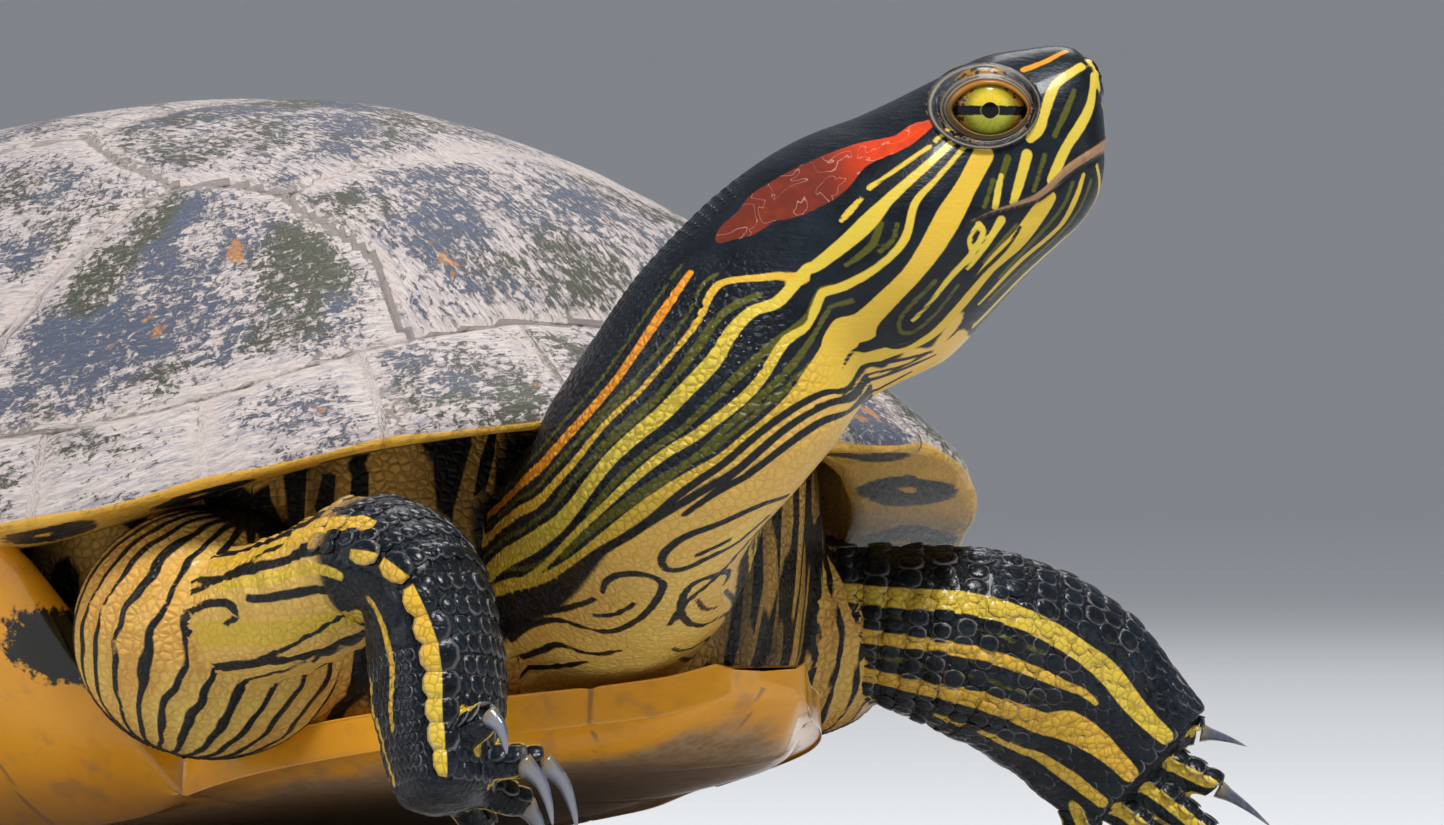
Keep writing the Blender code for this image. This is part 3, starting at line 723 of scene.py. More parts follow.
Y, O, D, R = Tone.YELLOW, Tone.OLIVE, Tone.DARK, Tone.SCARLET
HEAD_STRIPES = (
    # The red patch
    Stripe(R, ((14, 7.8, 1.3), (12, 7.6, 2.6), (9.5, 7.1, 2.6), (4.5, 7.6, 4.4), (2, 7.4, 5.7),
           (-1, 6.9, 7.6), (-5, 6.8, 7.8), (-7.5, 7.1, 6.5)), ((5.6, 142, 4.8), (5.4, 141, 3.2),
           (5.3, 142, 1.6))),
    # Behind the eye
    Stripe(Y, ((16.5, 4.6, 0.7), (12, 3, 0.9), (5.3, 0.7, 1.3), (1.8, -0.9, 2.1), (-2, -2.2, 1.8),
           (-7, -3.7, 1.4)), ((5.3, 185, 1.4), (5, 183, 1.4), (4.7, 186, 1.7), (4.4, 192, 2), (3.9, 196, 1.9),
           (3.5, 199, 1.7), (3, 204, 1.9), (2.6, 198, 2.4), (2.1, 189, 2.4), (1.6, 184, 2.2), (1.1, 182, 2))),
    Stripe(Y, ((17.3, 3.3, 0.4), (12, 0.7, 0.5), (8.4, -1, 0.8), (5.4, -4.7, 0.9), (2, -6.4, 0.8),
           (-4.5, -7.5, 1)), ((5.4, 201, 0.8), (5, 203, 1.2), (4.4, 213, 1.2), (3.8, 212, 1.1),
           (3.2, 214, 0.8), (2.7, 210, 0.7), (2.1, 202, 0.8), (1.5, 194, 0.8)), 0.05),
    Stripe(Y, ((19, 1.3, 2.6), (15.3, -1.7, 2.6), (11.6, -4.5, 3.3), (8.3, -7, 3), (4, -9.6, 2.4),
           (0, -11.3, 2.9), (-4.6, -13.4, 4.2)), ((5.3, 223, 4.8), (4.9, 228, 4), (4.5, 230, 1.9),
           (4.1, 231, 2), (3.6, 228, 1.7), (3, 224, 1.6), (2.5, 214, 1.6), (2.2, 207, 1.9), (1.7, 194, 1.9),
           (1.1, 190, 1.8)), 0.2),
    Stripe(Y, ((16, 6.1, 0.4), (14, 5.4, 0.4))),
    Stripe(Y, ((13, 5, 0.5), (9, 4.2, 0.5), (5.4, 3.5, 0.5), (3.7, 3.1, 0.7)), warm=0.1),
    Stripe(Y, ((2.1, 2.2, 0.5), (0, 1.3, 0.8), (-1.3, 0.7, 0.5)), warm=0.1),
    Stripe(Y, neck=((5.75, 182, 0.5), (5.5, 175, 0.6), (5.3, 171, 0.8), (5.05, 164, 0.8), (4.9, 164, 1),
           (4.6, 172, 0.8), (4.2, 178, 0.5), (3.6, 184, 0.7), (3.2, 189, 0.9), (2.8, 187, 1.2),
           (2.3, 176, 1.3), (1.7, 170, 1.3), (1.1, 168, 1.2)), warm=0.3),
    Stripe(Y, neck=((4.9, 148, 0.9), (4.5, 156, 1.4), (4.1, 164, 1.2), (3.5, 174, 1.3), (3, 176, 1.5),
           (2.7, 171, 1.5), (2.3, 164, 1.3), (1.7, 158, 1.2)), warm=0.9),
    Stripe(O, ((-6.2, -7.1, 0.7),), ((5.4, 198, 0.7), (4.7, 202, 1.1), (4.1, 206, 0.7), (3.5, 208, 0.8),
           (3.1, 212, 0.7))),
    Stripe(O, neck=((5.2, 178, 0.7), (4.8, 176, 0.9), (4.4, 182, 0.8), (4, 189, 0.6), (3.3, 195, 0.5),
           (3, 195, 0.7))),
    Stripe(O, ((-4.5, -9.7, 0.5),), ((5.3, 208, 0.7), (4.8, 215, 0.9), (4.2, 219, 0.7), (3.5, 222, 0.8),
           (2.7, 213, 0.8))),
    Stripe(O, neck=((5.1, 218, 0.5), (4.5, 224, 0.4))),
    Stripe(O, neck=((4, 176, 0.4), (3.5, 182, 0.4), (2.9, 182, 0.4))),
    Stripe(O, ((3.1, -1.8, 0.8), (1.1, -3.8, 0.8), (-3.2, -5, 0.5))),
    Stripe(O, ((5.1, -2.7, 0.4), (3.8, -4.3, 0.4), (1.7, -5.1, 0.4))),
    # Snout and cheek
    Stripe(Y, ((35.6, 7, 1), (31.7, 6.2, 1), (30.3, 5.2, 1.2), (28.2, 2.8, 1.1), (27, 1.7, 1.6),
           (25.5, 0.9, 1))),
    Stripe(Y, ((24.3, -0.9, 1.3), (21.5, -4.4, 1.2), (20.2, -5.9, 0.9))),
    Stripe(Y, ((36.4, 5.1, 1), (34.5, 1.8, 1.2), (32, -0.3, 1.3), (29.7, -1.8, 1.2), (27, -4.2, 1.3),
           (26, -5.2, 1.2))),
    Stripe(Y, ((36.6, 7.3, 0.9), (36.6, 3.8, 0.6), (35.6, -0.7, 0.5), (34.8, -2.6, 0.5))),
    Stripe(Y, ((28.3, 9.5, 0.7), (31.5, 9.4, 0.6), (34.4, 9.6, 0.5)), warm=1),
    Stripe(O, ((33.3, 4.4, 0.5), (31.1, 2.2, 0.7), (28.6, 0, 0.5))),
    Stripe(O, ((26.4, -1.9, 0.5), (23.3, -5.5, 0.5))),
    Stripe(Y, ((20.1, -2.1, 0.5), (19, -3.7, 0.8), (17.8, -5.5, 0.8))),
    Stripe(O, ((21.8, -0.3, 0.8), (20, -2.4, 0.7))),
    Stripe(O, ((18.9, -2.2, 0.4), (16.5, -5, 0.5))),
    # Lower jaw and chin
    Stripe(Y, ((24.8, -7.3, 1.8), (22.9, -8.4, 2.6), (18.9, -10.7, 2.9), (14.1, -12.5, 2.3),
           (8.2, -15.8, 1.8), (2.6, -17.9, 1.4), (-3.6, -17.6, 2.1), (-6.5, -17.7, 2.6)), ((5.3, 238, 2.7),
           (5.1, 238, 2.2)), 0.15),
    Stripe(Y, ((14.9, -6.7, 0.7), (15.1, -7.9, 0.7), (12.7, -9.9, 0.8), (8.4, -11.9, 0.7), (2.2, -15, 0.5))),
    Stripe(Y, ((14.9, -6.7, 0.5), (13, -8.2, 0.5), (12.7, -9.8, 0.5))),
    Stripe(Y, ((17.8, -7.5, 1.2), (14.8, -9.6, 0.8), (11.5, -11.5, 0.5))),
    Stripe(O, ((19.5, -8.8, 0.4), (13.7, -11.6, 0.4))),
    Stripe(O, ((9.4, -13, 0.4), (4, -15.8, 0.5), (1.4, -16.4, 0.5), (0.1, -15.7, 0.5), (0.6, -14.2, 0.5),
           (3.4, -12.8, 0.5), (6.8, -11.4, 0.4))),
    Stripe(D, ((12, -9.2, 0.7), (5.6, -10.9, 0.8), (0, -13.2, 1), (-2.5, -14.5, 1), (-3, -15.8, 0.9),
           (-1.6, -17.2, 0.7), (1, -17.5, 0.7), (6.3, -15.9, 0.7), (12, -13.1, 0.7), (17.4, -10.9, 0.5),
           (19.7, -9.3, 0.4))),
    Stripe(O, ((28.4, -6.6, 0.4), (25.8, -9.1, 0.5), (22.2, -10.9, 0.6), (14.8, -14.2, 0.5))),
    Stripe(Y, ((30.1, -6.2, 0.5), (27.6, -9, 0.8), (24.3, -11.3, 0.7), (17.6, -13.5, 0.7),
           (11.1, -16.3, 0.5)), warm=0.1),
    Stripe(O, ((30.8, -7.2, 0.4), (26.9, -10.8, 0.5), (22.6, -12.7, 0.5), (12.5, -16.4, 0.5))),
    Stripe(Y, ((32.3, -5.7, 0.5), (31, -9.2, 0.8), (27.9, -11.6, 0.8), (21.2, -14, 0.8), (13.7, -16.9, 0.8),
           (9.4, -18.7, 0.9)), warm=0.1),
    Stripe(D, ((2.9, -19.7, 0.5), (-5.4, -18.5, 0.7)), ((5.3, 243, 0.7), (4.9, 236, 0.8), (4.4, 232, 0.9),
           (3.7, 232, 0.9), (3.3, 233, 1.1), (2.9, 225, 0.9), (2.3, 212, 0.6), (1.5, 192, 0.8))),
    Stripe(D, ((3, -20.3, 0.4), (-5.4, -20.3, 0.7)), ((5.3, 252, 0.7), (4.8, 243, 0.8), (4.4, 239, 0.9),
           (4, 239, 1), (3.5, 236, 0.8), (3.1, 230, 0.8), (2.7, 222, 0.8), (2.2, 214, 0.7), (1.7, 205, 0.6))),
    Stripe(D, ((-0.8, -21, 0.5), (-7, -21.6, 0.8)), ((5.1, 261, 0.8), (4.6, 250, 1.1), (4.1, 246, 0.9),
           (3.8, 243, 0.8), (3.5, 242, 0.6))),
    Stripe(D, ((7, -18.4, 0.4), (0, -19.9, 0.5), (-6, -19.6, 0.5)), ((5.3, 248, 0.5), (4.7, 240, 0.5))),
    # Loops on the throat
    Stripe(D, neck=((3.95, 284, 0.6), (3.83, 270, 0.7), (3.57, 260, 0.8), (3.38, 252, 0.9), (3.2, 251, 1),
           (3.1, 257, 1), (3.12, 266, 0.9), (3.27, 275, 0.8), (3.42, 285, 0.7), (3.7, 288, 0.6)), once=True),
    Stripe(D, neck=((3.26, 266, 0.7), (3.45, 276, 0.5)), once=True),
    Stripe(D, neck=((2.68, 238, 0.6), (2.8, 237, 0.8), (2.93, 242, 0.9), (2.99, 252, 1), (2.94, 262, 1),
           (2.7, 263, 1), (2.46, 257, 0.9), (2.28, 246, 0.9), (2.22, 236, 0.8), (2.12, 226, 0.8),
           (1.85, 217, 0.8), (1.6, 214, 0.8))),
    Stripe(D, neck=((2.58, 236, 0.6), (2.3, 226, 0.8), (1.72, 207, 0.7))),
    Stripe(D, neck=((2.68, 254, 0.6), (2.5, 247, 0.7), (2.4, 238, 0.5))),
    Stripe(D, neck=((1.55, 222, 0.7), (1.75, 228, 0.9), (1.9, 232, 0.9), (1.95, 242, 0.9), (2.03, 252, 0.8),
           (2.12, 258, 0.6))),
    Stripe(D, neck=((1.3, 222, 0.8), (1.45, 224, 0.9), (1.7, 238, 0.9), (1.87, 247, 0.7))),
    Stripe(O, neck=((0.9, 222, 1.2), (1.2, 230, 1.4), (1.45, 242, 1.2), (1.63, 250, 0.8))),
    Stripe(D, neck=((3.6, 300, 0.7), (3.3, 298, 0.8), (2.98, 293, 0.9), (2.7, 280, 0.9), (2.45, 275, 0.7)),
           once=True),
)
ECHOES = tuple(Stripe(O, neck=tuple((s, turn + shift, 0.4)
                                    for s, turn, _ in HEAD_STRIPES[number].neck if s < 5.2))
               for number, shift in ((1, -8), (3, -8), (7, -6), (8, -8)))


def head_bands() -> Bands:
    """(tone, warm, dots) of every stripe of the head and neck, on the sides that it lies on."""
    return [(stripe.tone, stripe.warm, stripe.dots(side)) for stripe in HEAD_STRIPES + ECHOES
            for side in ((Side.RIGHT,) if stripe.once else Side)]


@dataclass(frozen=True)
class LimbStripe:
    """A painted line along a limb, in (station, turn, width) keys on its tube."""

    tone: Tone
    keys: tuple
    warm: float = 0.0

    def band(self, tube: Tube) -> tuple:
        """Its (tone, warm, dots) on a tube."""
        keys = through(np.array(self.keys, float))
        way = np.column_stack((tube.point(keys[:, 0], keys[:, 1]), keys[:, 2]))
        return self.tone, self.warm, spread(way, 0.5)


ARM_RIGHT_STRIPES = (
    LimbStripe(Y, ((0.6, 14, 3.2), (1.4, 18, 3.6), (2.1, 36, 3.8), (2.8, 56, 3.6), (3.4, 66, 3),
               (4.2, 72, 2)), 0.15),
    LimbStripe(Y, ((1.5, -22, 1.4), (2.2, -12, 1.6), (2.9, 2, 1.5), (3.5, 18, 1.3)), 0.1),
    LimbStripe(Y, ((1.2, -50, 2), (2, -42, 2.4), (2.8, -38, 2.6), (3.5, -36, 2.4)), 0.3),
    LimbStripe(D, ((1, 2, 1.3), (1.3, -8, 1.2), (1.6, -4, 1.2), (1.7, 6, 1.2), (1.5, 14, 1))),
    LimbStripe(D, ((1.9, -2, 1.1), (2.4, 10, 1.3), (3, 24, 1.3), (3.6, 34, 1))),
    LimbStripe(D, ((1.4, -30, 1.2), (2.2, -24, 1.4), (2.9, -14, 1.3), (3.5, -4, 1))),
    LimbStripe(D, ((0.9, -66, 1.4), (1.8, -60, 1.6), (2.6, -56, 1.5), (3.3, -54, 1.2))),
    LimbStripe(D, ((0.7, -16, 1), (1.2, -24, 1.2), (1.9, -36, 1), (2.4, -40, 0.9))),
    LimbStripe(D, ((0.5, 46, 1.4), (1.4, 52, 1.6), (2.2, 72, 1.6), (2.9, 88, 1.6))),
    LimbStripe(Y, ((4.2, 42, 1), (5.2, 38, 1.2), (6.2, 46, 1)), 0.3),
    LimbStripe(Y, ((5.4, 78, 1.1), (6.1, 74, 1.3), (6.9, 70, 1.2)), 0.2),
    LimbStripe(Y, ((3.9, 236, 1.6), (4.6, 238, 2), (5.4, 242, 1.8), (6.2, 246, 1.4)), 0.3),
    LimbStripe(Y, ((4.6, 108, 1.2), (5.6, 104, 1.6), (6.8, 100, 1.6)), 0.2),
) + tuple(LimbStripe(D, tuple((s, turn + 9 * s + 5 * np.sin(2 * s + turn), 0.9)
                              for s in (0.4, 1, 1.6, 2.2, 2.8)))
          for turn in (-92, -78, -46, 30, 64, 92, 108))
ARM_LEFT_STRIPES = (
    LimbStripe(Y, ((0.5, 60, 2.4), (0.8, 66, 2.9), (1.3, 68, 3), (2, 64, 3.2), (2.8, 66, 3), (3.3, 66, 3.2),
               (4, 66, 3), (4.6, 64, 2.6), (5, 62, 2.2)), 0.05),
    LimbStripe(Y, ((0.3, 96, 2), (0.8, 98, 2.1), (1.4, 98, 2), (2.2, 92, 1.8), (3, 86, 1.3), (3.5, 84, 0.8)),
               0.25),
    LimbStripe(Y, ((0.3, 124, 1.8), (0.8, 128, 2.2), (1.4, 130, 2.4), (2.1, 122, 2.8), (2.8, 114, 3.4),
               (3.4, 106, 4.4), (4, 100, 3.6), (4.6, 98, 2.8), (5, 98, 2.4)), 0.3),
    LimbStripe(Y, ((1.8, 150, 1.2), (2.6, 142, 1.3), (3.4, 136, 1.5), (4.2, 130, 2), (5, 128, 1.8)), 0.2),
    LimbStripe(O, ((0.4, 80, 0.9), (1.4, 82, 0.9), (2.4, 78, 0.9))),
    LimbStripe(O, ((0.6, 112, 0.9), (1.6, 112, 1), (2.6, 102, 0.8))),
    LimbStripe(Y, ((0.4, 200, 1.8), (1.4, 204, 1.8), (2.6, 206, 1.6), (4, 210, 1.6)), 0.2),
    LimbStripe(Y, ((0.4, 250, 2), (1.6, 256, 2.2), (2.8, 262, 2), (4.2, 266, 1.8)), 0.2),
)
LEG_STRIPES = (
    LimbStripe(Y, ((0.3, 150, 2.4), (1.2, 150, 2.6), (2.2, 146, 2.6), (3.2, 130, 2.4), (4.2, 118, 2.2),
               (5, 112, 2)), 0.15),
    LimbStripe(Y, ((0.5, 110, 1.8), (1.4, 108, 1.8), (2.4, 100, 1.8), (3.4, 90, 1.8), (4.6, 80, 1.6)), 0.15),
    LimbStripe(Y, ((0.3, 210, 2.2), (1.4, 214, 2.4), (2.6, 210, 2.2), (3.8, 200, 2), (5, 190, 2)), 0.2),
    LimbStripe(Y, ((0.5, 40, 1.8), (1.6, 38, 2), (2.8, 30, 1.8), (4.2, 20, 1.6)), 0.15),
    LimbStripe(Y, ((0.5, 290, 2.2), (1.8, 294, 2.2), (3.2, 300, 2.2), (4.8, 310, 2)), 0.25),
    LimbStripe(O, ((0.5, 170, 1), (2, 172, 1), (3.6, 158, 1))),
    LimbStripe(O, ((0.5, 76, 1), (2, 72, 1), (3.6, 60, 1))),
)
TAIL_STRIPES = tuple(LimbStripe(Y, ((0.2, turn, 1.6), (2, turn, 1.5), (3.4, turn, 1.0)), 0.15)
                     for turn in (20, 62, 118, 160, 215, 325))


# Skin


@dataclass
class NeckHead:
    """The neck and head as one tube, from the chest to the tip of the snout."""

    sides: int = 192
    neck_rings: int = 150
    head_rings: int = 116
    nose_rings: int = 6
    blend_from: float = 5.0
    blend_to: float = 5.9
    head_start: float = 5.85
    step_length: float = 10.6
    nostril: tuple = (1.55, 6.0)
    nostril_radius: float = 0.62
    crease_width: float = 0.34
    mouth_corner: float = 13.2
    fair_reach: float = 24
    fair_passes: int = 320
    fair_pull: float = 0.7
    throat_half: float = 40
    lip_gap: float = 0.22

    @property
    def turn(self) -> Array:
        """The angle of each point of a ring, in degrees."""
        return np.arange(self.sides) * 360 / self.sides

    @staticmethod
    def surface(s: Array, turn: Array) -> Array:
        """Points on the neck at a station and turn, melting into the back of the head.

        Args:
            s: Stations along the neck.
            turn: Angles round it, in degrees.

        Returns:
            Points, in mm.
        """
        plain = NECK.point(s, turn)
        x = HEAD.back - (NeckHead.head_start - s) * NeckHead.step_length
        joined = HEAD.place(HEAD.ring(x, turn))
        share = smooth(NeckHead.blend_from, NeckHead.blend_to, s)[..., None]
        return plain * (1 - share) + joined * share

    def grid(self) -> tuple[Array, Array, Array]:
        """The bare grid of points, with the neck station and the head's x of each ring."""
        s = np.linspace(0, self.head_start, self.neck_rings, endpoint=False)
        neck = self.surface(s[:, None], self.turn)
        x = np.linspace(HEAD.back, HEAD.snout, self.head_rings)
        head = HEAD.place(HEAD.ring(x[:, None], self.turn))
        tip = HEAD.ring(np.full(self.sides, HEAD.snout), self.turn)
        middle = tip.mean(axis=0)
        nose = []
        for k in range(1, self.nose_rings + 1):
            bend = np.pi / 2 * k / (self.nose_rings + 0.5)
            ring = middle + (tip - middle) * np.cos(bend)
            ring[:, 0] += 0.9 * np.sin(bend)
            nose.append(HEAD.place(ring))
        station = np.concatenate((s, np.full(self.head_rings + self.nose_rings, 6.0)))
        ahead = np.concatenate((np.full(self.neck_rings, HEAD.back), x, np.full(self.nose_rings, HEAD.snout)))
        return np.concatenate((neck, head, np.array(nose))), station, ahead

    def folds(self, points: Array, station: Array) -> Array:
        """Height of the loose skin folds at the base of the neck and of its fine creases.

        Args:
            points: The bare grid.
            station: The neck station of each ring.

        Returns:
            A height for each point, in mm.
        """
        loose = (1 - smooth(2.0, 4.4, station))[:, None]
        dorsal = 0.35 + 0.65 * smooth(-0.2, 0.9, np.sin(np.radians(self.turn + 25)))
        wave = grain(points.reshape(-1, 3), 6.0).reshape(points.shape[:2])
        pleat = np.sin(station[:, None] * TAU * 4.2 + 3.5 * wave + 0.02 * self.turn)
        return loose * dorsal * (0.75 * np.abs(pleat) ** 0.7 + 0.5 * wave)

    def fair(self, grid: Array) -> Array:
        """Evens the grid along its length where the neck runs into the head.

        Args:
            grid: The grid of points.

        Returns:
            The evened grid.
        """
        ring = np.arange(len(grid))
        weight = np.exp(-((ring - self.neck_rings + 4) / self.fair_reach) ** 4)[:, None, None]
        for _ in range(self.fair_passes):
            mean = grid.copy()
            mean[1:-1] = (grid[:-2] + grid[2:]) / 2
            grid = grid + (mean - grid) * weight * self.fair_pull
        return grid

    def relief(self, local: Array) -> Array:
        """Moves head-frame points for the eye beds, mouth, lips and nostrils.

        Args:
            local: Points in the head's frame.

        Returns:
            The moved points.
        """
        x, y, z = (local[..., k].copy() for k in range(3))
        side = np.sign(y)
        p, q = HEAD.level(local)
        bed = np.sqrt(((p + 0.1) / 7.0) ** 2 + ((q + 0.05) / 5.4) ** 2)
        flank = smooth(2.0, 4.5, np.abs(y))
        y -= side * 1.3 * (1 - smooth(0.8, 1.05, bed)) * flank
        gap = z - curve(HEAD.mouth, x)
        reach = smooth(self.mouth_corner, 16.5, x)
        crease = 0.6 * bell(gap, self.crease_width) * reach
        lip = 0.34 * bell(gap - 0.9, 0.75) * reach
        jaw = 0.42 * smooth(0.1, -0.35, gap) * smooth(-4.5, -1.5, gap) * reach
        pull = lip - crease - jaw
        y += side * pull * smooth(0, 1.5, np.abs(y))
        x += pull * smooth(33, 36.5, x) * 1.2
        z -= 0.7 * bell(gap - 0.2, 0.8) * bell(y, 1.6) * smooth(35, 36.8, x)
        from_nostril = np.hypot(np.abs(y) - self.nostril[0], z - self.nostril[1])
        x -= 1.5 * bell(from_nostril, self.nostril_radius) * smooth(35.6, 36.6, x)
        x += 0.3 * bell(from_nostril - 1.15, 0.4) * smooth(35.4, 36.6, x)
        brow = bell(z - 12.6, 1.1) * bell(x - HEAD.eye[0] - 0.2, 7.0) * smooth(2.5, 5, np.abs(y))
        y += side * 0.5 * brow
        return np.stack((x, y, z), -1)

    def patch(self) -> tuple[Patch, Array]:
        """Builds the painted tube.

        Returns:
            The patch, and its grid of points for the scales.
        """
        bare, station, ahead = self.grid()
        flat = bare.reshape(-1, 3)
        fields = blank_fields(len(flat))
        turn = np.tile(self.turn, len(station))
        paint(flat, fields, head_bands())
        where = np.repeat(station, self.sides)
        low_side = np.abs((turn - 270 + 180) % 360 - 180)
        base = self.throat_half + 24 * (1 - smooth(0.8, 3.0, where))
        local = HEAD.local(flat)
        rough = grain(local, 2.5, 14)
        chin = smooth(3.4, 2.6, local[:, 2] - curve(HEAD.low, local[:, 0]) + rough)
        chin *= smooth(9, 7.5, local[:, 0] + 4 * rough)
        fields["pale"] = np.where(where < 5.6, 1 - smooth(base - 2.5, base + 2.5, low_side), chin)
        fields["coarse"] = (1 - smooth(4.2, 5.7, where)) * (1 - 0.5 * fields["pale"])
        rear = smooth(8, -2, local[:, 0])
        fields["warm"] = np.where(fields["scarlet"] > -1, rear, fields["warm"])
        on_head = np.repeat(ahead, self.sides) > HEAD.back
        gap = local[:, 2] - curve(HEAD.mouth, local[:, 0])
        band = 0.25 + 1.05 * smooth(14, 30, local[:, 0])
        horn = np.minimum(gap + 0.1, band - gap)
        fields["horn"] = np.where(on_head & (local[:, 0] > 14), horn, UNPAINTED)
        shut = np.where(on_head & (local[:, 0] > 13.5), self.lip_gap - np.abs(gap), UNPAINTED)
        fields["line"] = np.maximum(fields["line"], shut)
        shaped = HEAD.place(self.relief(local))
        points = np.where(on_head[:, None], shaped, flat)
        grid = self.fair(points.reshape(bare.shape))
        lift = self.folds(bare, station)
        grid = grid + grid_normals(bare) * lift[..., None]
        built = loft(grid)
        built.fields = fields
        return built, grid


@dataclass
class EyeLids:
    """The lids and the ring round one eye, a hoop of skin that lies on the eyeball."""

    side: Side
    opening: tuple = (0.62, -0.62, 4.35, 3.2)
    ring: tuple = (-0.1, -0.1, 7.3, 5.6)
    lid_radius: float = 6.2
    around: int = 112
    outer_steps: int = 22

    def patch(self) -> Patch:
        """Builds the hoop: over the lid from the eyeball outwards, and back under the skin.

        Returns:
            The hoop.
        """
        turn = circle(self.around)
        k = np.concatenate((np.linspace(0, 1.08, self.outer_steps), (1.02, 0.6, 0.25, 0.02)))[:, None]
        under = np.concatenate((np.zeros(self.outer_steps), (1.2, 2.2, 2.2, 1.6)))[:, None]
        pinch = 1 + 0.10 * np.abs(np.cos(turn)) ** 6
        p = self.opening[0] * (1 - k) + self.ring[0] * k
        q = self.opening[1] * (1 - k) + self.ring[1] * k
        p = p + (self.opening[2] * pinch * (1 - k) + self.ring[2] * k) * np.cos(turn)
        q = q + (self.opening[3] * (1 - k) + self.ring[3] * k) * np.sin(turn)
        x, z = HEAD.from_level(p, q)
        away = (x - HEAD.eye[0]) ** 2 + (z - HEAD.eye[2]) ** 2
        ball = HEAD.eye[1] + np.sqrt(np.maximum(0.3, (HEAD.eye_radius + 0.1) ** 2 - away))
        shell = HEAD.eye[1] - 0.35 + np.sqrt(np.maximum(0.3, self.lid_radius ** 2 - away))
        outside = HEAD.lateral(x, z)
        ease = smooth(0.3, 1.0, k)
        lid = shell * (1 - ease) + (outside + 0.5) * ease
        lip = smooth(0, 0.10, k)
        y = ball * (1 - lip) + lid * lip
        y = y + 0.13 * np.sin(k * TAU * 4.3) * smooth(0.1, 0.3, k) + 0.35 * bell(k - 0.93, 0.07)
        y = y - under - 1.4 * smooth(1.0, 1.08, k) * (under == 0)
        local = np.stack((x, self.side.value * y, z), -1)
        rings = HEAD.place(local)
        fields = blank_fields(rings.shape[0] * rings.shape[1])
        fields["lid"] = np.clip(np.broadcast_to(k, x.shape), 0, 1).reshape(-1) + 0.001
        fields["warm"] = np.broadcast_to(smooth(-0.35, 0.45, np.sin(turn + 0.3)), x.shape).reshape(-1)
        fields["coarse"][:] = 0.05
        solid = hoop(rings)
        solid.fields = fields
        return solid


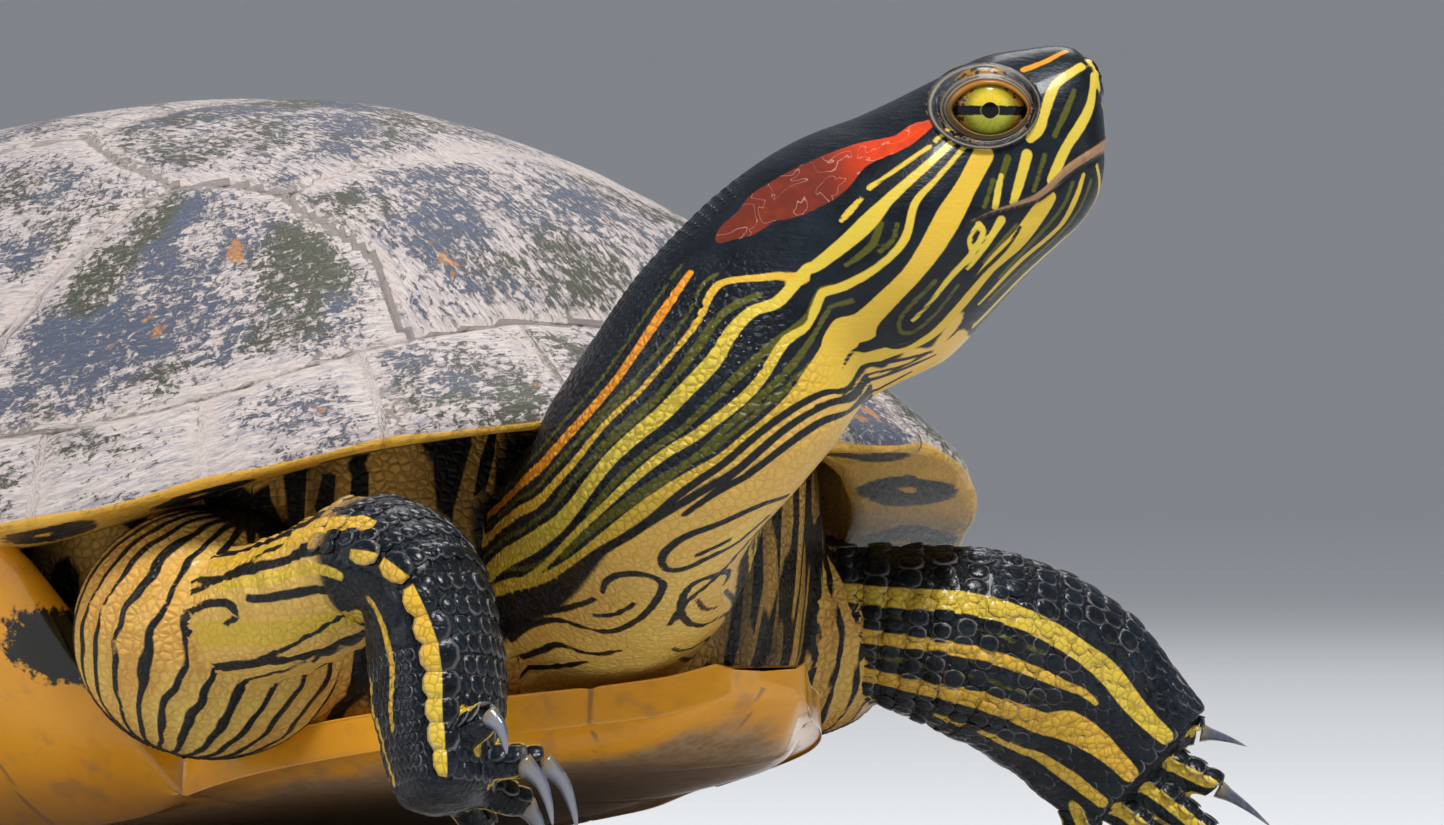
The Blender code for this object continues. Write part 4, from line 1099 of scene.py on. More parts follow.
@dataclass
class LimbSkin:
    """The flesh of one limb with its digits and webs."""

    plan: LimbPlan
    stripes: tuple
    digit_sides: int = 16
    digit_rings: int = 14
    end_rings: int = 6
    toe_line: float = 1.9
    swell: tuple = ((0, 1.12), (0.35, 1.02), (0.55, 1.08), (0.8, 0.95), (1, 0.7))
    web_reach: float = 0.62
    web_scoop: float = 2.2
    web_thickness: float = 1.15

    def grid(self) -> Pair:
        """The limb's grid of points, rounded over at its end, and the station of each ring."""
        tube = self.plan.tube
        turn = np.arange(self.plan.sides) * 360 / self.plan.sides
        s = np.linspace(0, tube.last, self.plan.rings)
        body = tube.point(s[:, None], turn)
        _, along, *_ = tube.frame(np.array([tube.last - 0.01]))
        middle, end = body[-1].mean(axis=0), []
        for k in range(1, self.end_rings + 1):
            bend = np.pi / 2 * k / (self.end_rings + 0.4)
            end.append(middle + (body[-1] - middle) * np.cos(bend) + along[0] * 3.0 * np.sin(bend))
        station = np.concatenate((s, np.full(self.end_rings, float(tube.last))))
        return np.concatenate((body, np.array(end))), station

    def markings(self, points: Array, coarse: float = 1.0) -> Fields:
        """Painted fields for points of this limb.

        Args:
            points: The points, in mm.
            coarse: How rough the skin is there.

        Returns:
            The fields, by name.
        """
        fields = blank_fields(len(points))
        paint(points, fields, [stripe.band(self.plan.tube) for stripe in self.stripes] + self.toe_lines())
        s = np.linspace(0, self.plan.tube.last, 80)
        middles = self.plan.tube.frame(s)[0]
        nearest = s[np.argmin(np.linalg.norm(points[:, None] - middles, axis=2), axis=1)]
        fields["pale"] = 1 - smooth(*self.plan.soft, nearest)
        fields["coarse"] = coarse * (1 - 0.5 * fields["pale"])
        return fields

    def toe_lines(self) -> Bands:
        """Yellow lines down the broad faces and one edge of each digit.

        Returns:
            (tone, warm, dots) of each line.
        """
        bands = []
        wide = unit(np.array(self.plan.paw.wide, float))
        for digit in self.plan.paw.digits:
            knuckle, end = self.plan.paw.line(digit)
            face = unit(np.cross(end - knuckle, wide))
            for way_out in (face, -face, -wide):
                edge = way_out * self.plan.paw.digit_radius * 0.95
                way = np.array([np.append(knuckle + (end - knuckle) * k + edge, self.toe_line)
                                for k in (-0.5, 0.2, 0.6, 0.95)])
                bands.append((Tone.YELLOW, 0.1, spread(way, 0.5)))
        return bands

    def digit(self, digit: tuple) -> Array:
        """Rings of one digit, knuckled, thinner towards its claw.

        Args:
            digit: One of the paw's digits.

        Returns:
            Array of (rings, sides, 3).
        """
        knuckle, end = self.plan.paw.line(digit)
        along, wide = end - knuckle, unit(np.array(self.plan.paw.wide, float))
        wide = unit(wide - wide @ unit(along) * unit(along))
        thin = np.cross(unit(along), wide)
        t = circle(self.digit_sides)
        rings = []
        for k in np.linspace(-0.1, 1.0, self.digit_rings):
            radius = self.plan.paw.digit_radius * float(curve(self.swell, k))
            around = np.cos(t)[:, None] * wide + 0.92 * np.sin(t)[:, None] * thin
            rings.append(knuckle + along * k + radius * around)
        return np.array(rings)

    def web(self, first: tuple, second: tuple) -> Array:
        """Rings of the web between two digits, scooped at its free edge.

        Args:
            first: A digit.
            second: The digit next to it.

        Returns:
            Array of (rings, sides, 3).
        """
        (k1, e1), (k2, e2) = self.plan.paw.line(first), self.plan.paw.line(second)
        t = circle(self.digit_sides)
        rings = []
        for share in np.linspace(0, self.web_reach, 8):
            a, b = k1 + (e1 - k1) * share, k2 + (e2 - k2) * share
            ahead = unit((e1 - k1) + (e2 - k2))
            wide, middle = (b - a) / 2, (a + b) / 2
            thin = unit(np.cross(ahead, wide)) * self.web_thickness * (1 - 0.5 * share)
            ring = middle + np.cos(t)[:, None] * wide + np.sin(t)[:, None] * thin
            scoop = ahead * self.web_scoop * share * (np.abs(np.cos(t))[:, None] - 1)
            rings.append(ring + scoop)
        return np.array(rings)

    def patches(self) -> tuple[list[Patch], Array]:
        """Builds the limb.

        Returns:
            Its patches and its grid of points.
        """
        bare, station = self.grid()
        loose = 1 - smooth(0.35, 0.6, station / self.plan.tube.last)
        wave = grain(bare.reshape(-1, 3), 4.5, 2).reshape(bare.shape[:2])
        pleat = np.abs(np.sin(station[:, None] * TAU * 1.9 + 3 * wave))
        lift = loose[:, None] * 0.55 * pleat + 0.35 * wave
        shaped = bare + grid_normals(bare) * lift[..., None]
        main = loft(shaped)
        main.fields = self.markings(bare.reshape(-1, 3))
        built = [main]
        digits = self.plan.paw.digits
        solids = [self.digit(digit) for digit in digits]
        webs = [self.web(a, b) for a, b in zip(digits, digits[1:])]
        for rings, coarse in [(r, 0.8) for r in solids] + [(r, 0.5) for r in webs]:
            part = loft(rings)
            part.fields = self.markings(part.points, coarse)
            if coarse == 0.5:
                part.fields["pale"][:] = 0.6
                part.fields["warm"][:] = 0.8
            built.append(part)
        return built, shaped


@dataclass
class TrunkSkin:
    """The body inside the shell with the loose pockets of skin at the legs."""

    around: int = 240
    crescent: float = 14.0
    band: float = 4.6
    pole: tuple = (0.35, -0.1, 0.95)
    outward: tuple = (0.731, 0.682, 0)
    fineness: tuple = ((130, 80), (110, 64), (48, 32), (48, 32))

    def rings(self) -> Array:
        """Rings from the crown down to the plastron."""
        turn = circle(self.around)
        sink = SHELL.wall + 0.9
        rings = [SHELL.dome(turn, np.full_like(turn, share), sink)
                 for share in (0.02, 0.2, 0.35, 0.5, 0.65, 0.77)]
        collar = smooth(0.5, 0.72, np.cos(turn))
        rings.append(SHELL.under(turn, 0.755 + 0.06 * collar))
        for share, height in ((0.63 + 0.15 * collar, 20), (0.46 + 0.13 * collar, 0), (0.2, 0), (0.02, 0)):
            x, y = SHELL.outline(turn, share)
            floor = SHELL.belly(x) + 5.4
            rings.append(np.stack((x, y, np.maximum(height, floor + (4 if height else 0))), -1))
        return np.array(rings)

    def pocket(self, centre: tuple, radii: tuple, sides: int, rings: int) -> Patch:
        """A pocket of loose skin with dark crescents that meet above it.

        Args:
            centre: Its middle, in mm.
            radii: Its half sizes.
            sides: Points in a ring.
            rings: Number of rings.

        Returns:
            The pocket.
        """
        lat = np.linspace(0.06, np.pi - 0.06, rings)[:, None]
        lon = circle(sides)[None, :]
        ball = np.stack((np.sin(lat) * np.cos(lon), np.sin(lat) * np.sin(lon), np.cos(lat) + 0 * lon), -1)
        points = (ball * np.array(radii) + np.array(centre)).reshape(-1, 3)
        fields = blank_fields(len(points))
        flip = np.array((1, np.sign(centre[1]), 1))
        pole = unit(np.array(self.pole) * flip)
        n = unit(ball.reshape(-1, 3))
        east = unit(np.cross(pole, np.array(self.outward) * flip))
        lune = np.degrees(np.arctan2(n @ east, n @ np.cross(east, pole)))
        lune = lune + 7 * grain(points, 9, 5) + 2.5 * grain(points, 3, 6)
        width = np.sqrt(np.maximum(0.0, 1 - (n @ pole) ** 2)) * radii[0]
        off = np.abs((lune / self.crescent) % 1 - 0.5) * self.crescent
        dark = 0.55 + 0.25 * grain(points, 8, 9) - np.radians(off) * width
        fields["line"] = np.minimum(dark, 1.0)
        fields["pale"][:] = 1.0
        fields["warm"] = smooth(-0.4, 0.6, grain(points, 9, 4)) * 0.5
        fields["coarse"][:] = 0.6
        swell = 0.3 * np.cos(np.radians(off) * TAU / np.radians(self.crescent))
        normal = unit(n / np.array(radii))
        solid = loft((points + normal * swell[:, None]).reshape(rings, sides, 3))
        solid.fields = fields
        return solid

    def patches(self) -> list[Patch]:
        """The trunk and its four pockets."""
        keys = list(enumerate(self.rings().reshape(-1, self.around * 3)))
        place = np.arange(0, len(keys) - 0.9, 0.25)
        rings = curve([(k, tuple(ring)) for k, ring in keys], place).reshape(-1, self.around, 3)
        trunk = loft(rings)
        fields = blank_fields(len(trunk.points))
        fields["pale"] = np.clip(0.6 + 0.5 * grain(trunk.points, 7, 12), 0.1, 0.9)
        x, y, z = trunk.points.T
        turn = np.degrees(np.arctan2(y, x - 20)) + np.sign(y) * 1.1 * z + 9 * grain(trunk.points, 14, 3)
        off = np.abs((turn / self.band) % 1 - 0.5) * self.band
        fields["line"] = 1.4 + 0.6 * grain(trunk.points, 8, 8) - np.radians(off) * 70
        fields["warm"][:] = 0.3
        trunk.fields = fields
        return [trunk] + [self.pocket(*pocket, *size) for pocket, size in zip(POCKETS, self.fineness)]


@dataclass
class Skin:
    """The whole skin: every patch of flesh joined into one closed piece without a seam."""

    blend_steps: int = 10
    blend_pull: float = 0.6
    fades: tuple = (0.9, 0.75, 0.55, 0.35, 0.15)
    floor: float = 0.12
    nodes: tuple = ("trunk", "neck", "head", "lower_jaw", "tail")

    def tail(self) -> tuple[Patch, Array]:
        """The tail and its grid of points."""
        turn = np.arange(40) * 9.0
        s = np.linspace(0, TAIL.last, 60)
        grid = TAIL.point(s[:, None], turn)
        ridge = 0.25 * np.sin(s * TAU * 4)[:, None] * smooth(0.5, 1.5, s)[:, None]
        grid = grid + grid_normals(grid) * ridge[..., None]
        part = loft(grid)
        part.fields = blank_fields(len(part.points))
        paint(part.points, part.fields, [stripe.band(TAIL) for stripe in TAIL_STRIPES])
        return part, grid

    def join(self, patches: list[Patch]) -> Mesh:
        """Unites closed patches exactly into one mesh.

        Args:
            patches: The patches, in any order; the first is the densest.

        Returns:
            The joined mesh, without fields.
        """
        group = bpy.data.collections.new("skin parts")
        bpy.context.scene.collection.children.link(group)
        solids = []
        for number, part in enumerate(patches):
            plain = Patch(part.points, part.faces, {})
            solid = bpy.data.objects.new(f"skin part {number}", plain.mesh("part"))
            solids.append(solid)
            if number:
                group.objects.link(solid)
            else:
                show(solid)
        step = solids[0].modifiers.new("unite", "BOOLEAN")
        step.operation, step.solver = "UNION", "EXACT"
        step.operand_type, step.collection = "COLLECTION", group
        step.use_self = False
        graph = bpy.context.evaluated_depsgraph_get()
        joined = bpy.data.meshes.new_from_object(solids[0].evaluated_get(graph), depsgraph=graph)
        for solid in solids:
            bpy.data.objects.remove(solid, do_unlink=True)
        bpy.data.collections.remove(group)
        return joined

    def nearest(self, patches: list[Patch], points: Array) -> Pair:
        """For each point, the index of the nearest patch point and the number of its patch.

        Args:
            patches: The patches.
            points: Points of the joined skin.

        Returns:
            The indices and the numbers.
        """
        source = np.concatenate([part.points for part in patches])
        owner = np.concatenate([np.full(len(part.points), i) for i, part in enumerate(patches)])
        tree = KDTree(len(source))
        for i, p in enumerate(source):
            tree.insert(p, i)
        tree.balance()
        index = np.array([tree.find(p)[1] for p in points])
        return index, owner[index]

    def soften(self, mesh: Mesh, points: Array, owner: Array) -> Array:
        """Smooths the creases where patches meet.

        Args:
            mesh: The joined mesh, for its edges.
            points: Its points, in mm.
            owner: The patch each point came from.

        Returns:
            The softened points.
        """
        edges = np.empty(len(mesh.edges) * 2, np.int32)
        mesh.edges.foreach_get("vertices", edges)
        a, b = edges.reshape(-1, 2).T
        seam = np.zeros(len(points))
        cross = owner[a] != owner[b]
        seam[a[cross]] = seam[b[cross]] = 1
        for fade in self.fades:
            spread_to = seam.copy()
            np.maximum.at(spread_to, a, np.minimum(seam[b], fade))
            np.maximum.at(spread_to, b, np.minimum(seam[a], fade))
            seam = spread_to
        count = np.zeros(len(points))
        np.add.at(count, a, 1)
        np.add.at(count, b, 1)
        for _ in range(self.blend_steps):
            total = np.zeros_like(points)
            np.add.at(total, a, points[b])
            np.add.at(total, b, points[a])
            mean = total / np.maximum(count, 1)[:, None]
            points = points + (mean - points) * (self.blend_pull * seam)[:, None]
        return points

    def build(self) -> tuple[Object, Fields]:
        """Makes the skin.

        Returns:
            The object, and the grids of points that the scales stand on.
        """
        neck_head, head_grid = NeckHead().patch()
        patches, grids = [neck_head], {"neck": head_grid}
        stripes = (ARM_RIGHT_STRIPES, ARM_LEFT_STRIPES, LEG_STRIPES, LEG_STRIPES)
        for plan, marks in zip(LIMBS, stripes):
            parts, grid = LimbSkin(plan, marks).patches()
            patches += parts
            grids[plan.nodes[1]] = grid
        tail, grids["tail"] = self.tail()
        patches += [*TrunkSkin().patches(), tail]
        patches += [EyeLids(side).patch() for side in Side]
        for part in patches:
            part.points = part.points.copy()
            part.points[:, 2] = np.maximum(part.points[:, 2], self.floor)
        joined = self.join(patches)
        points = np.empty(len(joined.vertices) * 3)
        joined.vertices.foreach_get("co", points)
        points = points.reshape(-1, 3) / MM
        index, owner = self.nearest(patches, points)
        fields = {name: np.concatenate([part.fields[name] for part in patches])[index]
                  for name in patches[0].fields}
        lids = owner >= len(patches) - 2
        points = np.where(lids[:, None], points, self.soften(joined, points, np.where(lids, 0, owner)))
        points[:, 2] = np.maximum(points[:, 2], self.floor)
        joined.vertices.foreach_set("co", (points * MM).ravel())
        write_fields(joined, fields)
        joined.shade_smooth()
        return new_piece("skin", joined), grids


def show(thing: Object) -> Object:
    """Puts an object in the scene."""
    bpy.context.scene.collection.objects.link(thing)
    return thing


def new_piece(name: str, mesh: Mesh) -> Object:
    """Puts a finished mesh in the scene as an object of the same name."""
    mesh.name = name
    return show(bpy.data.objects.new(name, mesh))


def new_part(name: str, built: Patch, finish: Material, node: str) -> Object:
    """Makes a piece that shows in place of a CAD node.

    Args:
        name: The piece's name.
        built: Its surface.
        finish: Its material.
        node: The node it replaces.

    Returns:
        The piece.
    """
    piece = new_piece(name, built.mesh(name))
    piece.data.materials.append(finish)
    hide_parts(node)
    return piece


# Shell


FIRST_PLEURAL, FIRST_MARGINAL = 5, 20


@dataclass
class Scutes:
    """Where the seams between the scutes of the carapace run, and which scute a place belongs to."""

    border: tuple = ((0, 0.845), (21, 0.855), (35, 0.885), (47, 0.91), (59, 0.915), (90, 0.905), (120, 0.90),
                     (150, 0.875), (180, 0.86))
    marginal_turns: tuple = (5, 19.5, 34, 47, 58.7, 71, 83, 95, 107.5, 120.5, 134.5, 151, 180)
    half_vertebral: tuple = ((-98, 39), (-84, 34), (-66, 27), (-46, 40), (-24, 33), (-2, 42), (20, 34.5),
                             (34, 40), (47, 41.7), (54, 38.3), (63, 36.3), (68, 37.5), (81.5, 36.1),
                             (90.4, 40.4))
    vertebral_seams: tuple = ((64.5, 36.3, 63), (21.5, 34.5, 20), (-22.5, 33, -24), (-64, 27, -66))
    pleural_seams: tuple = (((47, 41.7), (44.1, 52), (42, 66), (40.5, 79)), ((-2, 42), (-4, 60), (-6, 84.5)),
                            ((-46, 40), (-50, 58), (-54, 74.5)))

    def polar(self, x: Array, y: Array) -> Pair:
        """Turn in radians and share of the way to the rim, from a plan place."""
        u, v = x / (SHELL.length / 2), y / (SHELL.width / 2)
        turn = np.arctan2(v, u)
        return turn, np.hypot(u, v) / (1 + 0.018 * np.sin(2 * turn) ** 2)

    def ways(self) -> list[Array]:
        """Every seam as (turn, share) rows, both sides."""
        ways = []
        half = np.array(self.half_vertebral, float)
        x = np.linspace(half[0, 0], half[-1, 0], 90)
        side_line = np.column_stack(self.polar(x, np.interp(x, half[:, 0], half[:, 1])))
        border = np.linspace(0, 180, 181)
        rim = np.column_stack((np.radians(border), curve(self.border, border)))
        ways += [side_line, rim]
        for turn in self.marginal_turns:
            start = float(curve(self.border, turn))
            lean = 1.5 if turn < 40 else 0
            ways.append(np.array([(np.radians(turn + lean), start), (np.radians(turn - lean), 1.0)]))
        for middle, y_end, x_end in self.vertebral_seams:
            y = np.linspace(0, y_end, 20)
            bow = middle + (x_end - middle) * (y / y_end) ** 2 + 1.4 * np.sin(np.pi * y / y_end)
            ways.append(np.column_stack(self.polar(bow, y)))
        for seam in self.pleural_seams:
            seam = np.array(seam, float)
            y = np.linspace(seam[0, 1], seam[-1, 1], 20)
            ways.append(np.column_stack(self.polar(np.interp(y, seam[:, 1], seam[:, 0]), y)))
        mirrored = [way * np.array((-1, 1)) for way in ways]
        return ways + mirrored

    def distance(self, points: Array) -> Array:
        """Distance in mm from points of the carapace to the nearest seam, up to 9.

        Args:
            points: Places on the upper face.

        Returns:
            One distance a point.
        """
        best = np.full(len(points), 9.0)
        for number, way in enumerate(self.ways()):
            line = SHELL.dome(way[:, 0], way[:, 1])
            dots = spread(np.column_stack((line, np.zeros(len(line)))), 0.7)
            dots[:, :3] += 0.35 * np.stack([grain(dots[:, :3], 3.0, number + k) for k in range(3)], -1)
            for start in range(0, len(dots), 24):
                best = np.minimum(best, -band_field(points, dots[start:start + 25]))
        return best

    def number(self, turn: Array, share: Array) -> Array:
        """A number for the scute at each place: vertebrals from 0, then pleurals, then marginals.

        Args:
            turn: Angles round the shell, in radians.
            share: Share of the way from the middle to the rim.

        Returns:
            One number a place.
        """
        degrees = np.abs(np.degrees((turn + np.pi) % TAU - np.pi))
        x, y = SHELL.outline(turn, share)
        half = np.interp(x, *np.array(self.half_vertebral).T)
        vertebral = np.searchsorted([-65, -23, 21, 64], x)
        lean = (np.abs(y) - 41) * -0.12
        pleural = FIRST_PLEURAL + np.searchsorted([-46, -2, 47], x - lean) + 4 * (y < 0)
        marginal = FIRST_MARGINAL + np.searchsorted(self.marginal_turns, degrees) + 16 * (y < 0)
        inner = np.where(np.abs(y) < half, vertebral, pleural)
        return np.where(share > curve(self.border, degrees), marginal, inner)


@dataclass
class Carapace:
    """The upper shell: domed scutes parted by seams, marginals with a lip, blotched beneath."""

    around: int = 480
    shares: int = 98
    groove: float = 0.5
    rise: float = 0.28
    mean_radius: float = 105
    notch: float = 0.008
    rim_steps: tuple = ((1.0, 0.25), (1.004, 0.9), (1.003, 1.7))
    under_shares: tuple = (0.998, 0.985, 0.97, 0.95, 0.93, 0.91, 0.89, 0.87, 0.85)
    inner_shares: tuple = (0.8, 0.6, 0.4, 0.2, 0.01)

    def build(self, finish: Material) -> Object:
        """Makes the carapace in place of its node.

        Args:
            finish: Its material.

        Returns:
            The piece.
        """
        turn = circle(self.around)
        degrees = np.abs(np.degrees((turn + np.pi) % TAU - np.pi))
        notch = 1 + self.notch * self.scallop(degrees)
        shares = np.concatenate((np.linspace(0.008, 0.80, self.shares * 2 // 3, endpoint=False),
                                 np.linspace(0.80, 0.992, self.shares // 3)))
        top, seam, number = self.upper(shares, turn, notch)
        low, low_shares = self.lower(turn, notch)
        rings = np.concatenate((top, low))
        below = np.zeros(rings.shape[:2])
        below[len(top) + 1:] = 1
        below[len(top) + 1] = 0.3
        share = np.concatenate((shares, low_shares))[:, None] + 0 * turn
        turns = turn + 0 * share
        side_gap = np.min([np.abs(degrees - t) for t in Scutes.marginal_turns], axis=0)
        arm = np.hypot(SHELL.length / 2 * np.sin(turn), SHELL.width / 2 * np.cos(turn))
        side_seam = np.radians(side_gap) * arm
        seam = np.concatenate((seam, np.tile(side_seam, (len(low), 1))))
        number = np.concatenate((number, np.tile(number[-1:], (len(low), 1))))
        random = np.modf(np.abs(np.sin(number * 12.9898) * 43758.5453))[0]
        x, y = SHELL.outline(turns, share)
        climb = np.cumsum(np.linalg.norm(np.diff(rings, axis=0, prepend=rings[:1]), axis=2), axis=0)
        u = np.where(number < FIRST_PLEURAL, x, turns * self.mean_radius)
        v = np.where(number < FIRST_PLEURAL, y * 1.2, climb)
        lie = np.stack((u + 37 * random, v, 11 * random), -1)
        blotch = self.blotch(turns, share, side_seam)
        built = loft(rings, seam=seam, below=below, tone=random, blotch=blotch, lie=lie)
        return new_part("carapace_shell", built, finish, "carapace")

    def upper(self, shares: Array, turn: Array, notch: Array) -> tuple[Array, Array, Array]:
        """Makes the upper face.

        Args:
            shares: Share of the way to the rim of each ring.
            turn: Angle of each point of a ring.
            notch: How far out the rim is at each angle.

        Returns:
            Its rings, and the distance to the seams and the number of the scute at each point.
        """
        rings = np.array([SHELL.dome(turn, share * (1 + (notch - 1) * smooth(0.8, 1, share)))
                          for share in shares])
        share, turns = np.meshgrid(shares, turn, indexing="ij")
        scutes, flat = Scutes(), rings.reshape(-1, 3)
        seam = scutes.distance(flat).reshape(share.shape)
        wave = grain(flat, 16, 4).reshape(share.shape)
        height = self.rise * smooth(0, 5, seam) - self.groove * bell(seam, 0.55) + 0.35 * wave
        keel = 1.1 * bell(SHELL.outline(turns, share)[1], 9) * smooth(0.95, 0.6, share)
        rings = rings + grid_normals(rings) * (height + keel * 0.6)[..., None]
        return rings, seam, scutes.number(turns, share)

    def lower(self, turn: Array, notch: Array) -> Pair:
        """Rings over the rim, under the marginals and up inside, and how far out each is.

        Args:
            turn: Angle of each point of a ring.
            notch: How far out the rim is at each angle.

        Returns:
            The rings, and a share for each.
        """
        rim = [SHELL.dome(turn, notch * s, sink) for s, sink in self.rim_steps]
        under = [SHELL.under(turn, notch * s) for s in self.under_shares]
        inner = [SHELL.dome(turn, np.full_like(turn, s), SHELL.wall) for s in self.inner_shares]
        shares = np.concatenate((np.ones(len(rim)), self.under_shares, self.inner_shares))
        return np.array(rim + under + inner), shares

    def scallop(self, degrees: Array) -> Array:
        """Notches of the rear rim at the seams, -1 to 1."""
        gap = np.min([np.abs(degrees - t) for t in Scutes.marginal_turns], axis=0)
        return (smooth(0, 5, gap) * 2 - 1) * (0.25 + 0.75 * smooth(95, 135, degrees))

    def blotch(self, turn: Array, share: Array, side_seam: Array) -> Array:
        """Distance inside the dark blotches under the marginals, each with a light middle.

        Args:
            turn: Angles round the shell, in radians.
            share: Share of the way from the middle to the rim.
            side_seam: Distance along the rim to the nearest seam, in mm.

        Returns:
            One distance a point, in mm.
        """
        u = side_seam[None, :] + 0 * share
        v = (share - 0.925) * 95
        away = np.hypot(u / 1.25, v)
        wobble = 0.7 * np.sin(turn * 31) + 0.5 * np.sin(turn * 53 + share * 60)
        return np.minimum(6.0 + wobble - away, away - 1.3)


@dataclass
class Plastron:
    """The under shell: a glossy plate with a rolled lip and bridges up to the marginals."""

    rear: float = -108
    front: float = 118
    stations: int = 240
    fine: int = 5
    thickness: float = 4.5
    half: tuple = ((-108, 13), (-103, 27), (-92, 37), (-72, 44), (-52, 46.5), (-40, 48), (40, 50), (52, 48),
                   (66, 48), (78, 44.5), (88, 38), (98, 28.5), (107, 18.5), (113, 12.5), (118, 7))
    lip: tuple = ((-108, 2.5), (-60, 1.2), (42, 1.2), (70, 3.6), (93, 5), (112, 5.6), (118, 7))
    cross_seams: tuple = ((94, 15, 24), (60, -4, 48), (30, 2, 48), (-28, 3, 48), (-74, -10, 42))
    # Dark blotches on the bridges as (x, z, radius); the second, low on the bridge, is painted shade.
    blotches: tuple = ((50, 29, 5.4), (22, 18, 6.5), (2, 28, 8), (-26, 27, 8))

    def section(self, x: float) -> Array:
        """One closed cross-section of 24 points, under face first.

        Args:
            x: Where the plate is cut.

        Returns:
            Its points, in mm.
        """
        bridge = float(smooth(-49, -38, x) * smooth(-57, -46, -x))
        half, lip = float(curve(self.half, x)), float(curve(self.lip, x))
        belly = float(SHELL.belly(x))
        under, over = [], []
        for side in (-1, 1):
            turn = side * (np.pi / 2 - np.arcsin(np.clip(x / (SHELL.length / 2 * 0.885), -1, 1)))
            top = SHELL.under(np.array(turn), np.array(0.885), 0.45)
            low, high = [], []
            for share in (0.35, 0.75, 0.9, 1.0):
                flat = (1 - smooth(0.6, 1, share) ** 1.5) * (1 - smooth(100, self.front, x) ** 1.5)
                z = belly + lip * (1 - flat)
                low.append((x, side * half * share, z))
                high.append((x, side * half * share * (1 - 0.02 * share), z + self.thickness))
            for share in (0.5, 1.0):
                reach = bridge * share
                y = side * half * (1 - reach) + top[1] * reach
                climb = bridge * share ** 1.3
                z = (belly + lip) * (1 - climb) + top[2] * climb
                low.append((x, y + side * 0.3 * share, z - 8 * reach * (1 - share)))
                high.append((x, y - side * 5 * reach, z + (1 - reach) * self.thickness))
            if side < 0:
                low.reverse()
                high.reverse()
            under += low
            over += high
        return np.array(under + over[::-1])

    def build(self, finish: Material) -> Object:
        """Makes the plastron in place of its node.

        Args:
            finish: Its material.

        Returns:
            The piece.
        """
        xs = np.linspace(self.rear, self.front, self.stations)
        index = np.arange(24 * self.fine) / self.fine
        below = np.tile(((index < 11.5) | (index > 23.5)).astype(float), (len(xs), 1))
        rings = []
        for x in xs:
            ring = self.section(float(x))
            padded = [(i, tuple(ring[i % 24])) for i in range(-2, 27)]
            rings.append(curve(padded, index))
        rings = np.array(rings)
        for end, sign in ((0, -1), (-1, 1)):
            middle = rings[end].mean(axis=0)
            rings[end] = middle + (rings[end] - middle) * np.array((1, 0.8, 0.62))
            rings[end, :, 0] += sign * 0.1
        rings[..., 2] = np.maximum(rings[..., 2], 0.0)
        flat = rings.reshape(-1, 3)
        seam = self.seam(flat).reshape(rings.shape[:2])
        shrink = 0.28 * bell(seam, 0.5)
        lift = np.where(below > 0, shrink, -shrink)
        rings[..., 2] += np.where(rings[..., 2] < 0.02, 0, lift)
        inside = curve(self.half, flat[:, 0]) - np.abs(flat[:, 1])
        inside = np.minimum(inside, self.front - flat[:, 0]).reshape(rings.shape[:2])
        gaps = [radius - np.hypot((flat[:, 0] - x) * 0.8, (flat[:, 2] - z) * 1.1)
                for x, z, radius in self.blotches]
        blotch = np.max(gaps, axis=0).reshape(rings.shape[:2])
        built = loft(rings, seam=seam, below=below, inside=inside, blotch=blotch)
        return new_part("plastron_plate", built, finish, "plastron")

    def seam(self, points: Array) -> Array:
        """Distance in mm to the nearest seam between the plates, up to 9.

        Args:
            points: Places on the plate.

        Returns:
            One distance a point.
        """
        x, y = points[:, 0], points[:, 1]
        wander = 0.5 * np.sin(x * 0.35) + 0.3 * np.sin(x * 0.9)
        best = np.abs(y - wander)
        for middle, lean, width in self.cross_seams:
            line = middle + lean * np.minimum(np.abs(y) / width, 1.2) ** 1.4 + 0.4 * np.sin(y * 0.6)
            best = np.minimum(best, np.abs(x - line))
        return np.minimum(best, 9.0)


# Eyes and claws


@dataclass
class Eye:
    """One eyeball with a slightly bulged cornea, its iris barred by a dark line that stays level."""

    side: Side
    rings: int = 56
    around: int = 72
    pupil: tuple = (0.62, -0.72)
    cornea: float = 0.22
    cornea_reach: float = 2.6

    def build(self, finish: Material) -> Object:
        """Makes the eye in place of its node.

        Args:
            finish: Its material.

        Returns:
            The piece.
        """
        lat = np.linspace(0.03, np.pi - 0.03, self.rings)[:, None]
        lon = circle(self.around)[None, :]
        out = np.cos(lat) + 0 * lon
        p, q = np.sin(lat) * np.cos(lon), np.sin(lat) * np.sin(lon)
        radius = HEAD.eye_radius
        off = np.hypot(p * radius - self.pupil[0], q * radius - self.pupil[1])
        bulge = self.cornea * bell(off, self.cornea_reach) * (out > 0)
        x, z = HEAD.from_level(p * radius, q * radius)
        y = self.side.value * (HEAD.eye[1] + out * radius + bulge)
        rings = HEAD.place(np.stack((x, y, z), -1))
        gaze = np.stack((p * radius - self.pupil[0], q * radius - self.pupil[1], out), -1)
        word = self.side.word
        return new_part(f"eyeball_{word}", loft(rings, gaze=gaze), finish, f"eye_{word}")


